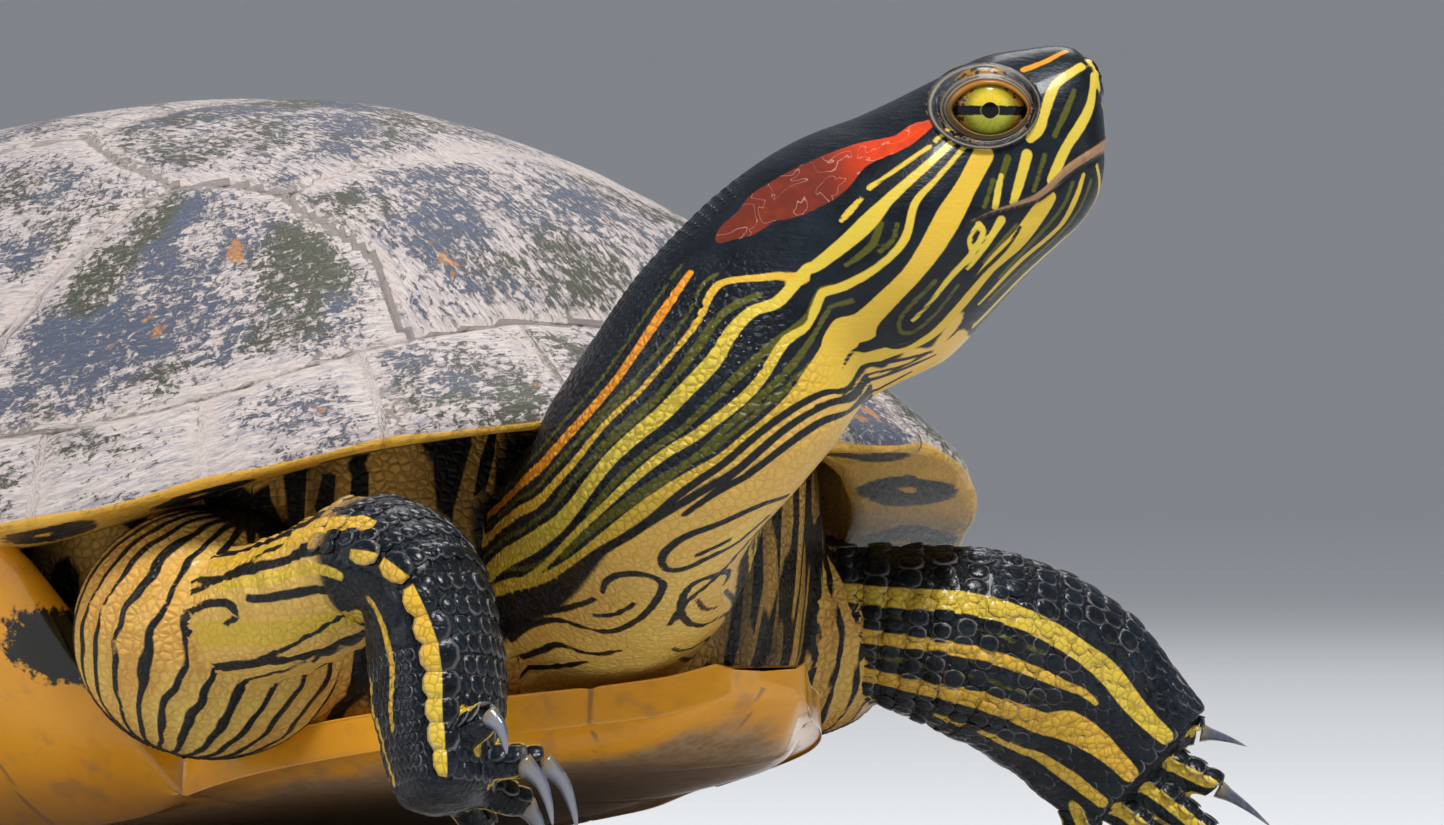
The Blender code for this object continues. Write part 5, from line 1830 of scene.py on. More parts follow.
@dataclass
class Claw:
    """One horn claw: round at its root, narrow and hooked at its tip."""

    paw: Paw
    digit: tuple
    node: str
    sides: int = 16
    rings: int = 22
    swell: tuple = ((0, 1.16), (0.1, 1.12), (0.2, 1.0), (0.7, 0.98), (0.93, 0.8), (1, 0.3))

    def build(self, finish: Material) -> Object:
        """Makes the claw in place of its node.

        Args:
            finish: Its material.

        Returns:
            The piece.
        """
        knuckle, end = self.paw.line(self.digit)
        along = unit(end - knuckle)
        centre, keys = end + along * 0.3, []
        for k in range(4):
            radius = self.paw.claw_radius * (1 - 0.86 * k / 3)
            centre[2] = max(centre[2], radius + 0.3)
            keys.append((k / 3, (*centre, radius)))
            if centre[2] > 3:
                along = unit(along - UP * self.paw.droop / 3)
            centre = centre + along * self.digit[3] / 3
        share = np.linspace(0, 1, self.rings)
        line = curve(keys, share)
        direction = unit(np.gradient(line[:, :3], axis=0))
        wide = unit(np.array(self.paw.wide, float))
        wide = unit(wide - (direction @ wide)[:, None] * direction)
        thin = np.cross(direction, wide)
        t = circle(self.sides)
        radius = line[:, 3] * curve(self.swell, share)
        blade = 1 - 0.3 * smooth(0, 1, np.cos(2 * t))[None, :] * share[:, None]
        rings = line[:, None, :3] + (radius[:, None] * 0.86 * blade * np.cos(t))[..., None] * wide[:, None, :]
        rings = rings + (radius[:, None] * 1.08 * np.sin(t))[..., None] * thin[:, None, :]
        rings[..., 2] = np.maximum(rings[..., 2], 0.12)
        length = np.repeat(share[:, None], self.sides, axis=1)
        edge = np.repeat(np.abs(np.cos(t))[None, :], self.rings, axis=0)
        return new_part(self.node + "_horn", loft(rings, length=length, edge=edge), finish, self.node)


# Node trees


class Value:
    """A socket of a node tree; arithmetic on it adds nodes."""

    def __init__(self, graph: "Graph", socket: NodeSocket) -> None:
        """Keeps the socket and the graph that it is in."""
        self.graph = graph
        self.socket = socket

    def __add__(self, other: object) -> "Value":
        """The sum."""
        return self.graph.math("ADD", self, other)

    def __sub__(self, other: object) -> "Value":
        """The difference."""
        return self.graph.math("SUBTRACT", self, other)

    def __rsub__(self, other: object) -> "Value":
        """What is left of a number."""
        return self.graph.math("SUBTRACT", other, self)

    def __mul__(self, other: object) -> "Value":
        """The product."""
        return self.graph.math("MULTIPLY", self, other)

    def step(self, low: float, high: float) -> "Value":
        """Rises smoothly from 0 at low to 1 at high."""
        inputs = {0: self, 1: low, 2: high}
        return self.graph.result("ShaderNodeMapRange", inputs, interpolation_type="SMOOTHSTEP")

    def fall(self, low: float, high: float) -> "Value":
        """Falls smoothly from 1 at low to 0 at high."""
        return 1 - self.step(low, high)

    def coated(self, share: object, paint: object) -> "Value":
        """This colour with a share of paint over it."""
        return self.graph.mix(share, self, paint)


class Graph:
    """Short calls for building one node tree."""

    def __init__(self, tree: NodeTree) -> None:
        """Keeps the tree that the nodes go in."""
        self.tree = tree

    def add(self, kind: str, inputs: dict | None = None, **settings: object) -> Node:
        """A new node with its settings, and its inputs by number or name.

        Args:
            kind: The node's type.
            inputs: What its inputs take.
            settings: Its other settings.

        Returns:
            The node.
        """
        node = self.tree.nodes.new(kind)
        for name, value in settings.items():
            setattr(node, name, value)
        for key, value in (inputs or {}).items():
            self.plug(node.inputs[key], value)
        return node

    def result(self, kind: str, inputs: dict, output: int | str = 0, **settings: object) -> Value:
        """One output of a new node."""
        return Value(self, self.add(kind, inputs, **settings).outputs[output])

    def plug(self, socket: NodeSocket, value: object) -> None:
        """Links a socket, or sets its value.

        Args:
            socket: The input of a node.
            value: A value of the tree, a colour or a number.
        """
        if isinstance(value, Value):
            self.tree.links.new(value.socket, socket)
        elif isinstance(value, tuple) and socket.type == "RGBA":
            socket.default_value = (*value, 1)
        else:
            socket.default_value = value

    def math(self, operation: str, a: object, b: object = 0.0, clamp: bool = False) -> Value:
        """The result of a Math node."""
        return self.result("ShaderNodeMath", {0: a, 1: b}, operation=operation, use_clamp=clamp)

    def mix(self, share: object, a: object, b: object, blend: str = "MIX") -> Value:
        """Two colours mixed by a share."""
        return self.result("ShaderNodeMix", {0: share, 6: a, 7: b}, 2, data_type="RGBA", blend_type=blend)

    def read(self, name: str, output: str = "Fac") -> Value:
        """A field of the piece."""
        return self.result("ShaderNodeAttribute", {}, output, attribute_name=name)

    def place(self) -> Value:
        """Object coordinates, in millimetres."""
        return self.stretch(self.result("ShaderNodeTexCoord", {}, "Object"), (1000, 1000, 1000))

    def stretch(self, vector: Value, by: tuple) -> Value:
        """A vector scaled differently along each axis."""
        return self.result("ShaderNodeMapping", {0: vector, "Scale": by})

    def parts(self, vector: Value) -> list[Value]:
        """The three numbers of a vector."""
        return [Value(self, out) for out in self.add("ShaderNodeSeparateXYZ", {0: vector}).outputs]

    def noise(self, vector: Value, scale: float, detail: float = 3, rough: float = 0.55,
              bend: float = 0) -> Value:
        """Noise from 0 to 1."""
        inputs = {"Vector": vector, "Scale": scale, "Detail": detail, "Roughness": rough, "Distortion": bend}
        return self.result("ShaderNodeTexNoise", inputs, "Fac")

    def wander(self, vector: Value, scale: float, detail: float, reach: object, rough: float = 0.55) -> Value:
        """Noise about zero, up to half its reach to each side."""
        return (self.noise(vector, scale, detail, rough) - 0.5) * reach

    def use(self, group: NodeTree, output: str, **inputs: object) -> Value:
        """One output of a placed group."""
        return self.result("ShaderNodeGroup", inputs, output, node_tree=group)


class Group(Graph):
    """The graph of a node group with named inputs."""

    def __init__(self, name: str, **defaults: object) -> None:
        """Starts the group; a tuple as a default makes its input a vector.

        Args:
            name: The group's name.
            defaults: Its inputs, with the values they start from.
        """
        super().__init__(bpy.data.node_groups.new(name, "ShaderNodeTree"))
        for label, default in defaults.items():
            kind = "NodeSocketVector" if isinstance(default, tuple) else "NodeSocketFloat"
            self.tree.interface.new_socket(label, in_out="INPUT", socket_type=kind).default_value = default
        start = self.add("NodeGroupInput")
        self.given = {label: Value(self, start.outputs[label]) for label in defaults}

    def finish(self, **results: Value) -> NodeTree:
        """Gives out the named results.

        Args:
            results: What the group puts out, by name.

        Returns:
            The group.
        """
        for label in results:
            self.tree.interface.new_socket(label, in_out="OUTPUT", socket_type="NodeSocketFloat")
        self.add("NodeGroupOutput", results)
        return self.tree


class Surface(Graph):
    """The graph of a material, built up to its Principled shader."""

    def __init__(self, name: str) -> None:
        """Starts the material."""
        self.material = bpy.data.materials.new(name)
        self.material.use_nodes = True
        super().__init__(self.material.node_tree)

    def finish(self, inputs: dict[str, object], height: Value | None = None, depth: float = 0.0,
               strength: float = 1.0) -> Material:
        """Feeds the shader.

        Args:
            inputs: What its inputs take, by name.
            height: Height of the fine relief.
            depth: Depth of the relief, in mm.
            strength: Share of the relief that shows.

        Returns:
            The material.
        """
        shader = self.tree.nodes["Principled BSDF"]
        if height:
            relief = {"Distance": depth * MM, "Strength": strength, "Height": height}
            inputs["Normal"] = self.result("ShaderNodeBump", relief)
        for name, value in ({"Coat Roughness": 0.08} | inputs).items():
            self.plug(shader.inputs[name], value)
        return self.material


# Scales


@dataclass
class ScaleShape:
    """The shape every scale of a coat repeats: a low dome, X across it, Y towards its free edge."""

    name: str
    corners: int = 6
    squareness: float = 2.0
    height: float = 0.22
    sink: float = 0.14
    tilt: float = 0.0
    rings: tuple = (1.0, 0.72)

    def build(self) -> tuple[Object, Array]:
        """Makes the shape.

        Returns:
            The object, and its points.
        """
        t = (np.arange(self.corners) + 0.5) / self.corners * TAU
        c, s = np.cos(t), np.sin(t)
        reach = (np.abs(c) ** self.squareness + np.abs(s) ** self.squareness) ** (-1 / self.squareness)
        outline = np.column_stack((c * reach, s * reach)) / 2
        points, faces = [], []
        for ring in self.rings:
            high = self.height * (1 - ring ** 2.5) - self.sink * (ring == self.rings[0])
            points += [(x * ring, y * ring, high + self.tilt * (y * ring + 0.5)) for x, y in outline]
        points.append((0, 0, self.height + self.tilt * 0.5))
        n = self.corners
        for r in range(len(self.rings) - 1):
            low, high = r * n, (r + 1) * n
            faces += [(low + i, low + (i + 1) % n, high + (i + 1) % n, high + i) for i in range(n)]
        last = (len(self.rings) - 1) * n
        faces += [(last + i, last + (i + 1) % n, last + n) for i in range(n)]
        faces.append(tuple(range(n))[::-1])
        points = np.array(points)
        return new_piece(self.name, Patch(points / MM, faces, {}).mesh(self.name)), points


@dataclass
class ScaleBed:
    """Where the scales of a coat stand: root, normal, direction of the free edge, size and paint."""

    points: Array
    normal: Array
    lengthwise: Array
    size: Array
    chart: Array
    split: Array
    paint_with: Callable

    @staticmethod
    def on_grid(grid: Array, places: Array, size: Array, paint_with: Callable,
                split: Array | None = None, lift: Numbers = 0.0) -> "ScaleBed":
        """Roots at places of a tube's grid.

        Args:
            grid: The tube's points.
            places: (ring, column) of each root, fractions allowed.
            size: Width, length and height of each scale, in mm.
            paint_with: Gives the fields for points.
            split: For each root, 1 where only one half is yellow.
            lift: Height of the roots above the skin.

        Returns:
            The bed.
        """
        normals = grid_normals(grid)
        count, sides = grid.shape[:2]
        r = np.clip(places[:, 0], 0, count - 1.001)
        c = places[:, 1] % sides
        r0, c0 = r.astype(int), c.astype(int)
        fr, fc = (r - r0)[:, None], (c - c0)[:, None]
        c1 = (c0 + 1) % sides

        def read(values: Array) -> Array:
            """Reads the grid between its points."""
            near = values[r0, c0] * (1 - fc) + values[r0, c1] * fc
            far = values[r0 + 1, c0] * (1 - fc) + values[r0 + 1, c1] * fc
            return near * (1 - fr) + far * fr

        points, normal = read(grid), unit(read(normals))
        lengthwise = grid[np.minimum(r0 + 2, count - 1), c0] - grid[np.maximum(r0 - 1, 0), c0]
        lengthwise = unit(lengthwise - np.einsum("ij,ij->i", lengthwise, normal)[:, None] * normal)
        chart = np.column_stack((c / sides, r / count))
        split = np.zeros(len(points)) if split is None else split
        lift = np.reshape(lift, (-1, 1))
        return ScaleBed(points + normal * lift, normal, lengthwise, size, chart, split, paint_with)

    def only(self, keep: Array) -> "ScaleBed":
        """The roots that a mask keeps."""
        return ScaleBed(*(part[keep] for part in self.arrays()), self.paint_with)

    def arrays(self) -> tuple[Array, ...]:
        """The roots' arrays in the order of the fields."""
        return self.points, self.normal, self.lengthwise, self.size, self.chart, self.split

    def joined(self, other: "ScaleBed") -> "ScaleBed":
        """This bed and another as one."""
        pairs = zip(self.arrays(), other.arrays())
        return ScaleBed(*(np.concatenate(pair) for pair in pairs), self.paint_with)


@dataclass
class ScaleCoat:
    """A coat of scales: one shape set on every root of a bed by Geometry Nodes and made a plain mesh."""

    name: str
    shape: ScaleShape
    bed: ScaleBed
    seed: int
    chart_corner: tuple = (0.0, 0.0)
    chart_size: float = 0.24
    patch: float = 0.003
    least: float = 0.9
    greatest: float = 1.06

    def tree(self) -> NodeTree:
        """The node tree that sets the scales.

        Returns:
            The node tree.
        """
        tree = bpy.data.node_groups.new(self.name + " setter", "GeometryNodeTree")
        inputs = {"Roots": "Geometry", "Scale Shape": "Object", "Finish": "Material", "Seed": "Int",
                  "Least Size": "Float", "Greatest Size": "Float"}
        for label, kind in inputs.items():
            tree.interface.new_socket(label, in_out="INPUT", socket_type="NodeSocket" + kind)
        tree.interface.new_socket("Scales", in_out="OUTPUT", socket_type="NodeSocketGeometry")
        graph = Graph(tree)
        start = graph.add("NodeGroupInput")
        given = {label: Value(graph, start.outputs[label]) for label in inputs}

        def stored(name: str) -> Value:
            """A vector stored at the roots."""
            reader = graph.add("GeometryNodeInputNamedAttribute", data_type="FLOAT_VECTOR")
            reader.inputs["Name"].default_value = name
            return Value(graph, next(out for out in reader.outputs if out.enabled))

        vary = graph.add("FunctionNodeRandomValue", {"Seed": given["Seed"]})
        low, high = (item for item in vary.inputs if item.type == "VALUE" and item.name in ("Min", "Max"))
        graph.plug(low, given["Least Size"])
        graph.plug(high, given["Greatest Size"])
        growth = Value(graph, next(out for out in vary.outputs if out.type == "VALUE"))
        sizes = {0: stored("size"), "Scale": growth}
        placing = {
            "Points": given["Roots"],
            "Instance": graph.result("GeometryNodeObjectInfo", {"Object": given["Scale Shape"]}, "Geometry"),
            "Rotation": graph.result("FunctionNodeEulerToRotation", {0: stored("facing")}),
            "Scale": graph.result("ShaderNodeVectorMath", sizes, operation="SCALE"),
        }
        scales = graph.result("GeometryNodeInstanceOnPoints", placing)
        real = graph.result("GeometryNodeRealizeInstances", {0: scales})
        dressed = graph.result("GeometryNodeSetMaterial", {0: real, "Material": given["Finish"]})
        graph.add("NodeGroupOutput", {0: dressed})
        return tree

    def build(self, finish: Material) -> Object:
        """Makes the coat.

        Args:
            finish: The skin's material, which reads the scales' own fields.

        Returns:
            The coat as a plain mesh.
        """
        shape, shape_points = self.shape.build()
        bed = self.bed
        across = np.cross(bed.lengthwise, bed.normal)
        frames = np.stack((across, bed.lengthwise, bed.normal), -1)
        facing = np.array([Matrix(frame.tolist()).to_euler()[:] for frame in frames])
        roots = bpy.data.meshes.new(self.name + " roots")
        roots.from_pydata((bed.points * MM).tolist(), [], [])
        write_fields(roots, {"facing": facing, "size": bed.size * MM})
        carrier = new_piece(self.name + " carrier", roots)
        step = carrier.modifiers.new("scales", "NODES")
        step.node_group = self.tree()
        values = {"Scale Shape": shape, "Finish": finish, "Seed": self.seed, "Least Size": self.least,
                  "Greatest Size": self.greatest}
        for item in step.node_group.interface.items_tree:
            if item.item_type == "SOCKET" and item.name in values:
                step[item.identifier] = values[item.name]
        graph = bpy.context.evaluated_depsgraph_get()
        mesh = bpy.data.meshes.new_from_object(carrier.evaluated_get(graph), depsgraph=graph)
        for helper in (carrier, shape):
            bpy.data.objects.remove(helper, do_unlink=True)
        for layer in [a.name for a in mesh.attributes if a.name in ("facing", "size")]:
            mesh.attributes.remove(mesh.attributes[layer])
        self.dress(mesh, shape_points)
        mesh.shade_smooth()
        coat = new_piece(self.name, mesh)
        return coat

    def dress(self, mesh: Mesh, shape_points: Array) -> None:
        """Gives the mesh the fields of its roots and its patches on the skin's unwrap.

        Args:
            mesh: The scales.
            shape_points: The points of one scale.
        """
        per, count = len(shape_points), len(self.bed.points)
        local = np.tile(shape_points, (count, 1))
        places = np.empty(len(mesh.vertices) * 3, np.float32)
        mesh.vertices.foreach_get("co", places)
        fields = self.bed.paint_with(places.reshape(-1, 3) / MM)
        half = self.bed.split.repeat(per) * local[:, 0] * np.repeat(self.bed.size[:, 0], per)
        cut = np.repeat(self.bed.split, per) != 0
        fields["stripe"] = np.where(cut, half, fields["stripe"])
        fields["plate"] = 0.05 + np.clip(np.hypot(local[:, 0], local[:, 1]) * 2, 0, 1) * 0.95
        fields["tier"] = np.repeat(np.modf(np.abs(np.sin(np.arange(count) * 91.7)) * 43.5)[0], per)
        write_fields(mesh, fields)
        unwrap = mesh.uv_layers.new(name="OFBake")
        root = np.array(self.chart_corner) + self.bed.chart * self.chart_size
        uv = np.repeat(root, per, axis=0) + local[:, :2] * self.patch
        corner = np.empty(len(mesh.loops), np.int32)
        mesh.loops.foreach_get("vertex_index", corner)
        unwrap.data.foreach_set("uv", uv[corner].astype(np.float32).ravel())


def lattice(rings: tuple[float, float], columns: tuple[float, float], step: tuple[float, float],
            stagger: float = 0.5) -> Array:
    """Staggered (ring, column) places between limits.

    Args:
        rings: First and last ring.
        columns: First and last column.
        step: Spacing along the rings and columns.
        stagger: Share of a column step that every second row moves.

    Returns:
        One row a place.
    """
    places = []
    for k, r in enumerate(np.arange(rings[0], rings[1], step[0])):
        c = np.arange(columns[0], columns[1], step[1]) + (k % 2) * stagger * step[1]
        places.append(np.column_stack((np.full(len(c), r), c)))
    return np.concatenate(places)


# Finishes


class Effects:
    """The effects that several finishes share, each a node group."""

    def __init__(self) -> None:
        """Makes each group once."""
        self.granules = self.make_granules()
        self.mottle = self.make_mottle()
        self.band = self.make_band()

    def make_granules(self) -> NodeTree:
        """Small pebbled scales: a height, and a shade darker in their joints."""
        graph = Group("Granules", Size=1.3, Roundness=1.0)
        where = graph.place()
        cells = {"Vector": where, "Scale": graph.math("DIVIDE", 1.0, graph.given["Size"]), "Randomness": 0.8}
        edge = graph.result("ShaderNodeTexVoronoi", cells, "Distance", feature="DISTANCE_TO_EDGE")
        height = edge.step(0.0, 0.32) * graph.given["Roundness"] + graph.noise(where, 2.2) * 0.2
        return graph.finish(Height=height + graph.noise(where, 0.25, 2) * 0.3, Shade=edge.step(0.0, 0.12))

    def make_mottle(self) -> NodeTree:
        """Streaky patches: a mask from fine streaks that gather in larger clouds."""
        graph = Group("Streaky Mottle", Place=(0, 0, 0), Cover=0.5, Softness=0.12)
        place, soft = graph.given["Place"], graph.given["Softness"]
        streak = graph.noise(graph.stretch(place, (0.26, 0.7, 1.0)), 1.0, 5, 0.74, 1.4)
        cloud = graph.noise(place, 0.06, 4, 0.6, 0.5)
        spots = graph.noise(place, 0.8, 5, 0.75, 0.6)
        level = streak * 1.1 + cloud * 1.1 + spots * 1.4 - 1.8 + graph.given["Cover"]
        return graph.finish(Mask=graph.math("DIVIDE", level - (0.5 - soft), soft * 2.0, clamp=True))

    def make_band(self) -> NodeTree:
        """A painted band from its distance field, with a slightly ragged edge."""
        graph = Group("Painted Band", Field=UNPAINTED, Ragged=0.3, Width=0.09)
        field, ragged, width = graph.given.values()
        field = field + graph.wander(graph.place(), 0.9, 3, ragged, 0.6)
        return graph.finish(Mask=graph.math("DIVIDE", field + width, width * 2.0, clamp=True))


@dataclass(frozen=True)
class SkinFinish:
    """Dark granular skin with painted stripes; the scales read the same fields."""

    dark: Colour = (0.004, 0.006, 0.009)
    slate: Colour = (0.011, 0.017, 0.024)
    olive: Colour = (0.085, 0.082, 0.012)
    yellow: Colour = (0.62, 0.46, 0.055)
    orange: Colour = (0.78, 0.25, 0.010)
    throat: Colour = (0.66, 0.39, 0.09)
    scarlet: Colour = (0.66, 0.050, 0.008)
    ink: Colour = (0.010, 0.010, 0.009)
    horn: Colour = (0.46, 0.27, 0.13)
    pale_edge: Colour = (0.36, 0.33, 0.33)
    lid_stops: tuple = (
        (0.0, (0.10, 0.05, 0.01)), (0.05, (0.42, 0.17, 0.02)), (0.22, (0.36, 0.15, 0.025)),
        (0.27, (0.02, 0.02, 0.02)), (0.33, (0.30, 0.22, 0.14)), (0.40, (0.03, 0.03, 0.035)),
        (0.48, (0.22, 0.18, 0.13)), (0.56, (0.02, 0.025, 0.035)), (0.84, (0.03, 0.035, 0.045)),
        (0.90, (0.26, 0.22, 0.17)), (0.96, (0.16, 0.14, 0.11)), (1.0, (0.012, 0.016, 0.022)))

    def build(self, effects: Effects) -> Material:
        """Makes the material.

        Args:
            effects: The shared effects.

        Returns:
            The material.
        """
        graph = Surface("turtle skin")
        where = graph.place()
        coarse, warm, plate = (graph.read(name) for name in ("coarse", "warm", "plate"))
        grains = {"Size": 1.25, "Roundness": coarse}

        def band(field: str, ragged: float = 0.16) -> Value:
            """Mask of one painted field."""
            return graph.use(effects.band, "Mask", Field=graph.read(field), Ragged=ragged)

        colour = graph.mix(graph.noise(where, 0.16, 4, 0.6).step(0.35, 0.75), self.dark, self.slate)
        colour = colour.coated(band("faint", 0.3), self.olive)
        throat = graph.mix(graph.noise(where, 0.3), self.throat, (0.72, 0.50, 0.11))
        throat = throat.coated(warm, (0.60, 0.24, 0.045))
        colour = colour.coated(graph.read("pale").step(0.1, 0.9), throat)
        gold = graph.mix(warm, self.yellow, self.orange)
        gold = gold.coated(graph.noise(where, 0.5).step(0.45, 0.8) * 0.3, (0.66, 0.42, 0.04))
        colour = colour.coated(band("stripe"), gold)
        red = graph.mix(warm, self.scarlet, (0.14, 0.022, 0.012))
        red = red.coated(graph.noise(where, 0.5, 4).step(0.4, 0.7) * 0.4, (0.24, 0.035, 0.014))
        scratch = graph.math("ABSOLUTE", graph.noise(where, 0.28, 2, 0.4, 0.8) - 0.5).fall(0.002, 0.011)
        red = red.coated(scratch * 0.35, (0.72, 0.46, 0.38))
        colour = colour.coated(band("scarlet", 0.4), red)
        tan = graph.mix(graph.noise(where, 1.2, 4), self.horn, (0.26, 0.13, 0.06))
        colour = colour.coated(band("horn", 0.15), tan)
        colour = self.lid(graph, colour.coated(band("line"), self.ink), where)
        joint = (1 - graph.use(effects.granules, "Shade", **grains)) * coarse
        colour = colour.coated(joint * 0.5, graph.mix(1.0, colour, (0.25, 0.22, 0.2), "MULTIPLY"))
        is_plate = plate.step(0.01, 0.03)
        colour = colour.coated(plate.step(0.80, 1.0) * graph.read("tier") * (is_plate * 0.5), self.pale_edge)
        rough = graph.noise(where, 0.8) * 0.3 + 0.22 - is_plate * 0.08
        soft = graph.use(effects.granules, "Height", **grains) * (1 - is_plate * 0.8)
        creases = graph.noise(graph.stretch(where, (0.25, 0.25, 1.3)), 1.2, 3, 0.6)
        inputs = {"Base Color": colour, "Roughness": rough, "Coat Weight": 0.12, "Specular IOR Level": 0.16}
        return graph.finish(inputs, soft + creases * 0.3, 0.3, 0.9)

    def lid(self, graph: Surface, colour: Value, where: Value) -> Value:
        """Paints the lids from the eyeball outwards: orange-brown, lined grey, blue-black, cream rim.

        Args:
            graph: The material's graph.
            colour: Colour of the skin.
            where: Object coordinates, in mm.

        Returns:
            The colour with the lids painted.
        """
        lid = graph.read("lid")
        ramp = graph.add("ShaderNodeValToRGB", {0: lid})
        while len(ramp.color_ramp.elements) < len(self.lid_stops):
            ramp.color_ramp.elements.new(0.5)
        for element, (place, value) in zip(ramp.color_ramp.elements, self.lid_stops):
            element.position = place
            element.color = (*value, 1)
        speck = lid.step(0.3, 0.45) * graph.noise(where, 1.1, 4, 0.7).step(0.52, 0.62)
        painted = Value(graph, ramp.outputs[0]).coated(speck * 0.4, (0.24, 0.18, 0.11))
        lower = (1 - graph.read("warm")) * lid.fall(0.18, 0.3)
        painted = painted.coated(lower * 0.85, (0.09, 0.065, 0.02))
        return colour.coated(lid.step(0.0, 0.0008), painted)


@dataclass(frozen=True)
class CarapaceFinish:
    """Weathered scutes: chalky pink and cream over blue-grey and olive, cracked seams, amber beneath."""

    chalk: Colour = (0.40, 0.335, 0.325)
    cream: Colour = (0.60, 0.52, 0.475)
    blue: Colour = (0.060, 0.074, 0.115)
    olive: Colour = (0.045, 0.048, 0.022)
    amber: Colour = (0.86, 0.41, 0.012)
    ink: Colour = (0.010, 0.012, 0.010)

    def build(self, effects: Effects) -> Material:
        """Makes the material.

        Args:
            effects: The shared effects.

        Returns:
            The material.
        """
        graph = Surface("carapace horn")
        where, lie = graph.place(), graph.read("lie", "Vector")
        seam, below = graph.read("seam"), graph.read("below")
        inner = seam.step(1.0, 7.0)
        cover = inner * 0.19 + 0.33 + (graph.read("tone") - 0.5) * 0.12
        mottle = graph.use(effects.mottle, "Mask", Place=lie, Cover=cover, Softness=0.07)
        fine = graph.noise(graph.stretch(lie, (0.35, 2.2, 1)), 1.0, 5, 0.75, 0.3)
        grey = graph.noise(graph.stretch(lie, (0.3, 1.4, 1)), 1.0, 5, 0.75, 0.4).step(0.50, 0.60)
        light = graph.mix(fine.step(0.38, 0.62), self.chalk, self.cream)
        light = light.coated(grey * 0.62, (0.19, 0.19, 0.24))
        dark = graph.mix(graph.noise(where, 0.05, 2, 0.5).step(0.46, 0.56), self.blue, self.olive)
        dark = dark.coated(fine.step(0.52, 0.68) * 0.6, (0.27, 0.26, 0.28))
        rust = graph.noise(lie, 0.12, 3, 0.6).step(0.66, 0.71) * inner
        colour = light.coated(mottle, dark).coated(rust * 0.7, (0.55, 0.22, 0.04))
        suture = (seam + graph.wander(where, 0.35, 4, 3.4)).fall(0.8, 2.6)
        colour = colour.coated(suture * 0.4, (0.56, 0.46, 0.41))
        broken = graph.noise(where, 0.14).step(0.40, 0.58) * 0.65 + 0.3
        crack = (seam + graph.wander(where, 1.4, 3, 0.5)).fall(0.16, 0.55)
        colour = colour.coated(crack * broken, (0.07, 0.045, 0.03))
        colour = colour.coated(below.step(0.25, 0.5), self.under(graph, effects, where, seam))
        rough = fine * 0.25 + 0.42 - below.step(0.3, 0.6) * 0.28
        height = fine * 0.9 + mottle * -0.5 + graph.noise(where, 1.3, 4, 0.65) * 0.5
        return graph.finish({"Base Color": colour, "Roughness": rough}, height, 0.32, 0.9)

    def under(self, graph: Surface, effects: Effects, where: Value, seam: Value) -> Value:
        """Amber under face with dark blotches and seams.

        Args:
            graph: The material's graph.
            effects: The shared effects.
            where: Object coordinates, in mm.
            seam: Distance to the nearest seam, in mm.

        Returns:
            Its colour.
        """
        gold = graph.mix(graph.noise(where, 0.11), self.amber, (0.66, 0.42, 0.06))
        gold = gold.coated(graph.noise(where, 0.2, 4).step(0.55, 0.7) * 0.5, (0.52, 0.25, 0.03))
        mask = graph.use(effects.band, "Mask", Field=graph.read("blotch"), Ragged=2.2, Width=0.25)
        return gold.coated(mask, self.ink).coated(seam.fall(0.15, 0.5) * 0.8, (0.03, 0.02, 0.015))


@dataclass(frozen=True)
class PlastronFinish:
    """Glossy amber plate, stained grey-brown over the middle of its under face, darkened near the floor by
    painted shade.
    """

    amber: Colour = (0.86, 0.40, 0.010)
    honey: Colour = (0.76, 0.29, 0.012)
    stain: Colour = (0.16, 0.11, 0.07)
    ink: Colour = (0.005, 0.005, 0.004)
    blotch_core: float = 5.2

    def build(self, effects: Effects) -> Material:
        """Makes the material.

        Args:
            effects: The shared effects.

        Returns:
            The material.
        """
        graph = Surface("plastron horn")
        where, blotch = graph.place(), graph.read("blotch")
        streak = graph.noise(graph.stretch(where, (0.5, 0.12, 0.5)), 0.6, 4, 0.6)
        colour = graph.mix(graph.noise(where, 0.06), self.amber, self.honey)
        colour = colour.coated(streak.step(0.5, 0.75) * 0.35, (0.42, 0.20, 0.04))
        middle = (graph.read("inside") + graph.wander(where, 0.08, 4, 14.0)).step(3.0, 9.0)
        middle = middle * graph.read("below").step(0.4, 0.6)
        dirt = graph.mix(graph.noise(where, 0.5, 5, 0.7).step(0.3, 0.7), self.stain, (0.36, 0.27, 0.17))
        colour = colour.coated(middle * 0.85, dirt)
        colour = colour.coated(graph.noise(where, 0.12).step(0.58, 0.68) * 0.4, (0.30, 0.17, 0.08))
        # Dark blotches with pale middles; the one low on the bridge is painted shade.
        mark = graph.use(effects.band, "Mask", Field=blotch, Ragged=5.0, Width=0.4)
        core = graph.use(effects.band, "Mask", Field=blotch - self.blotch_core, Ragged=2.0, Width=0.4)
        colour = colour.coated(mark * (1 - core), self.ink)
        colour = colour.coated(graph.read("seam").fall(0.2, 0.75) * 0.65, (0.16, 0.09, 0.06))
        # Painted shade: the plate turns darker brown below about 14 mm above the floor.
        colour = colour.coated(graph.parts(where)[2].fall(6.0, 14.0) * 0.5, (0.24, 0.11, 0.03))
        rough = middle * 0.3 + 0.12 + streak * 0.12
        inputs = {"Base Color": colour, "Roughness": rough, "Coat Weight": 0.4, "Specular IOR Level": 0.35}
        return graph.finish(inputs, streak * 0.7 + graph.noise(where, 0.35, 4), 0.16, 0.6)


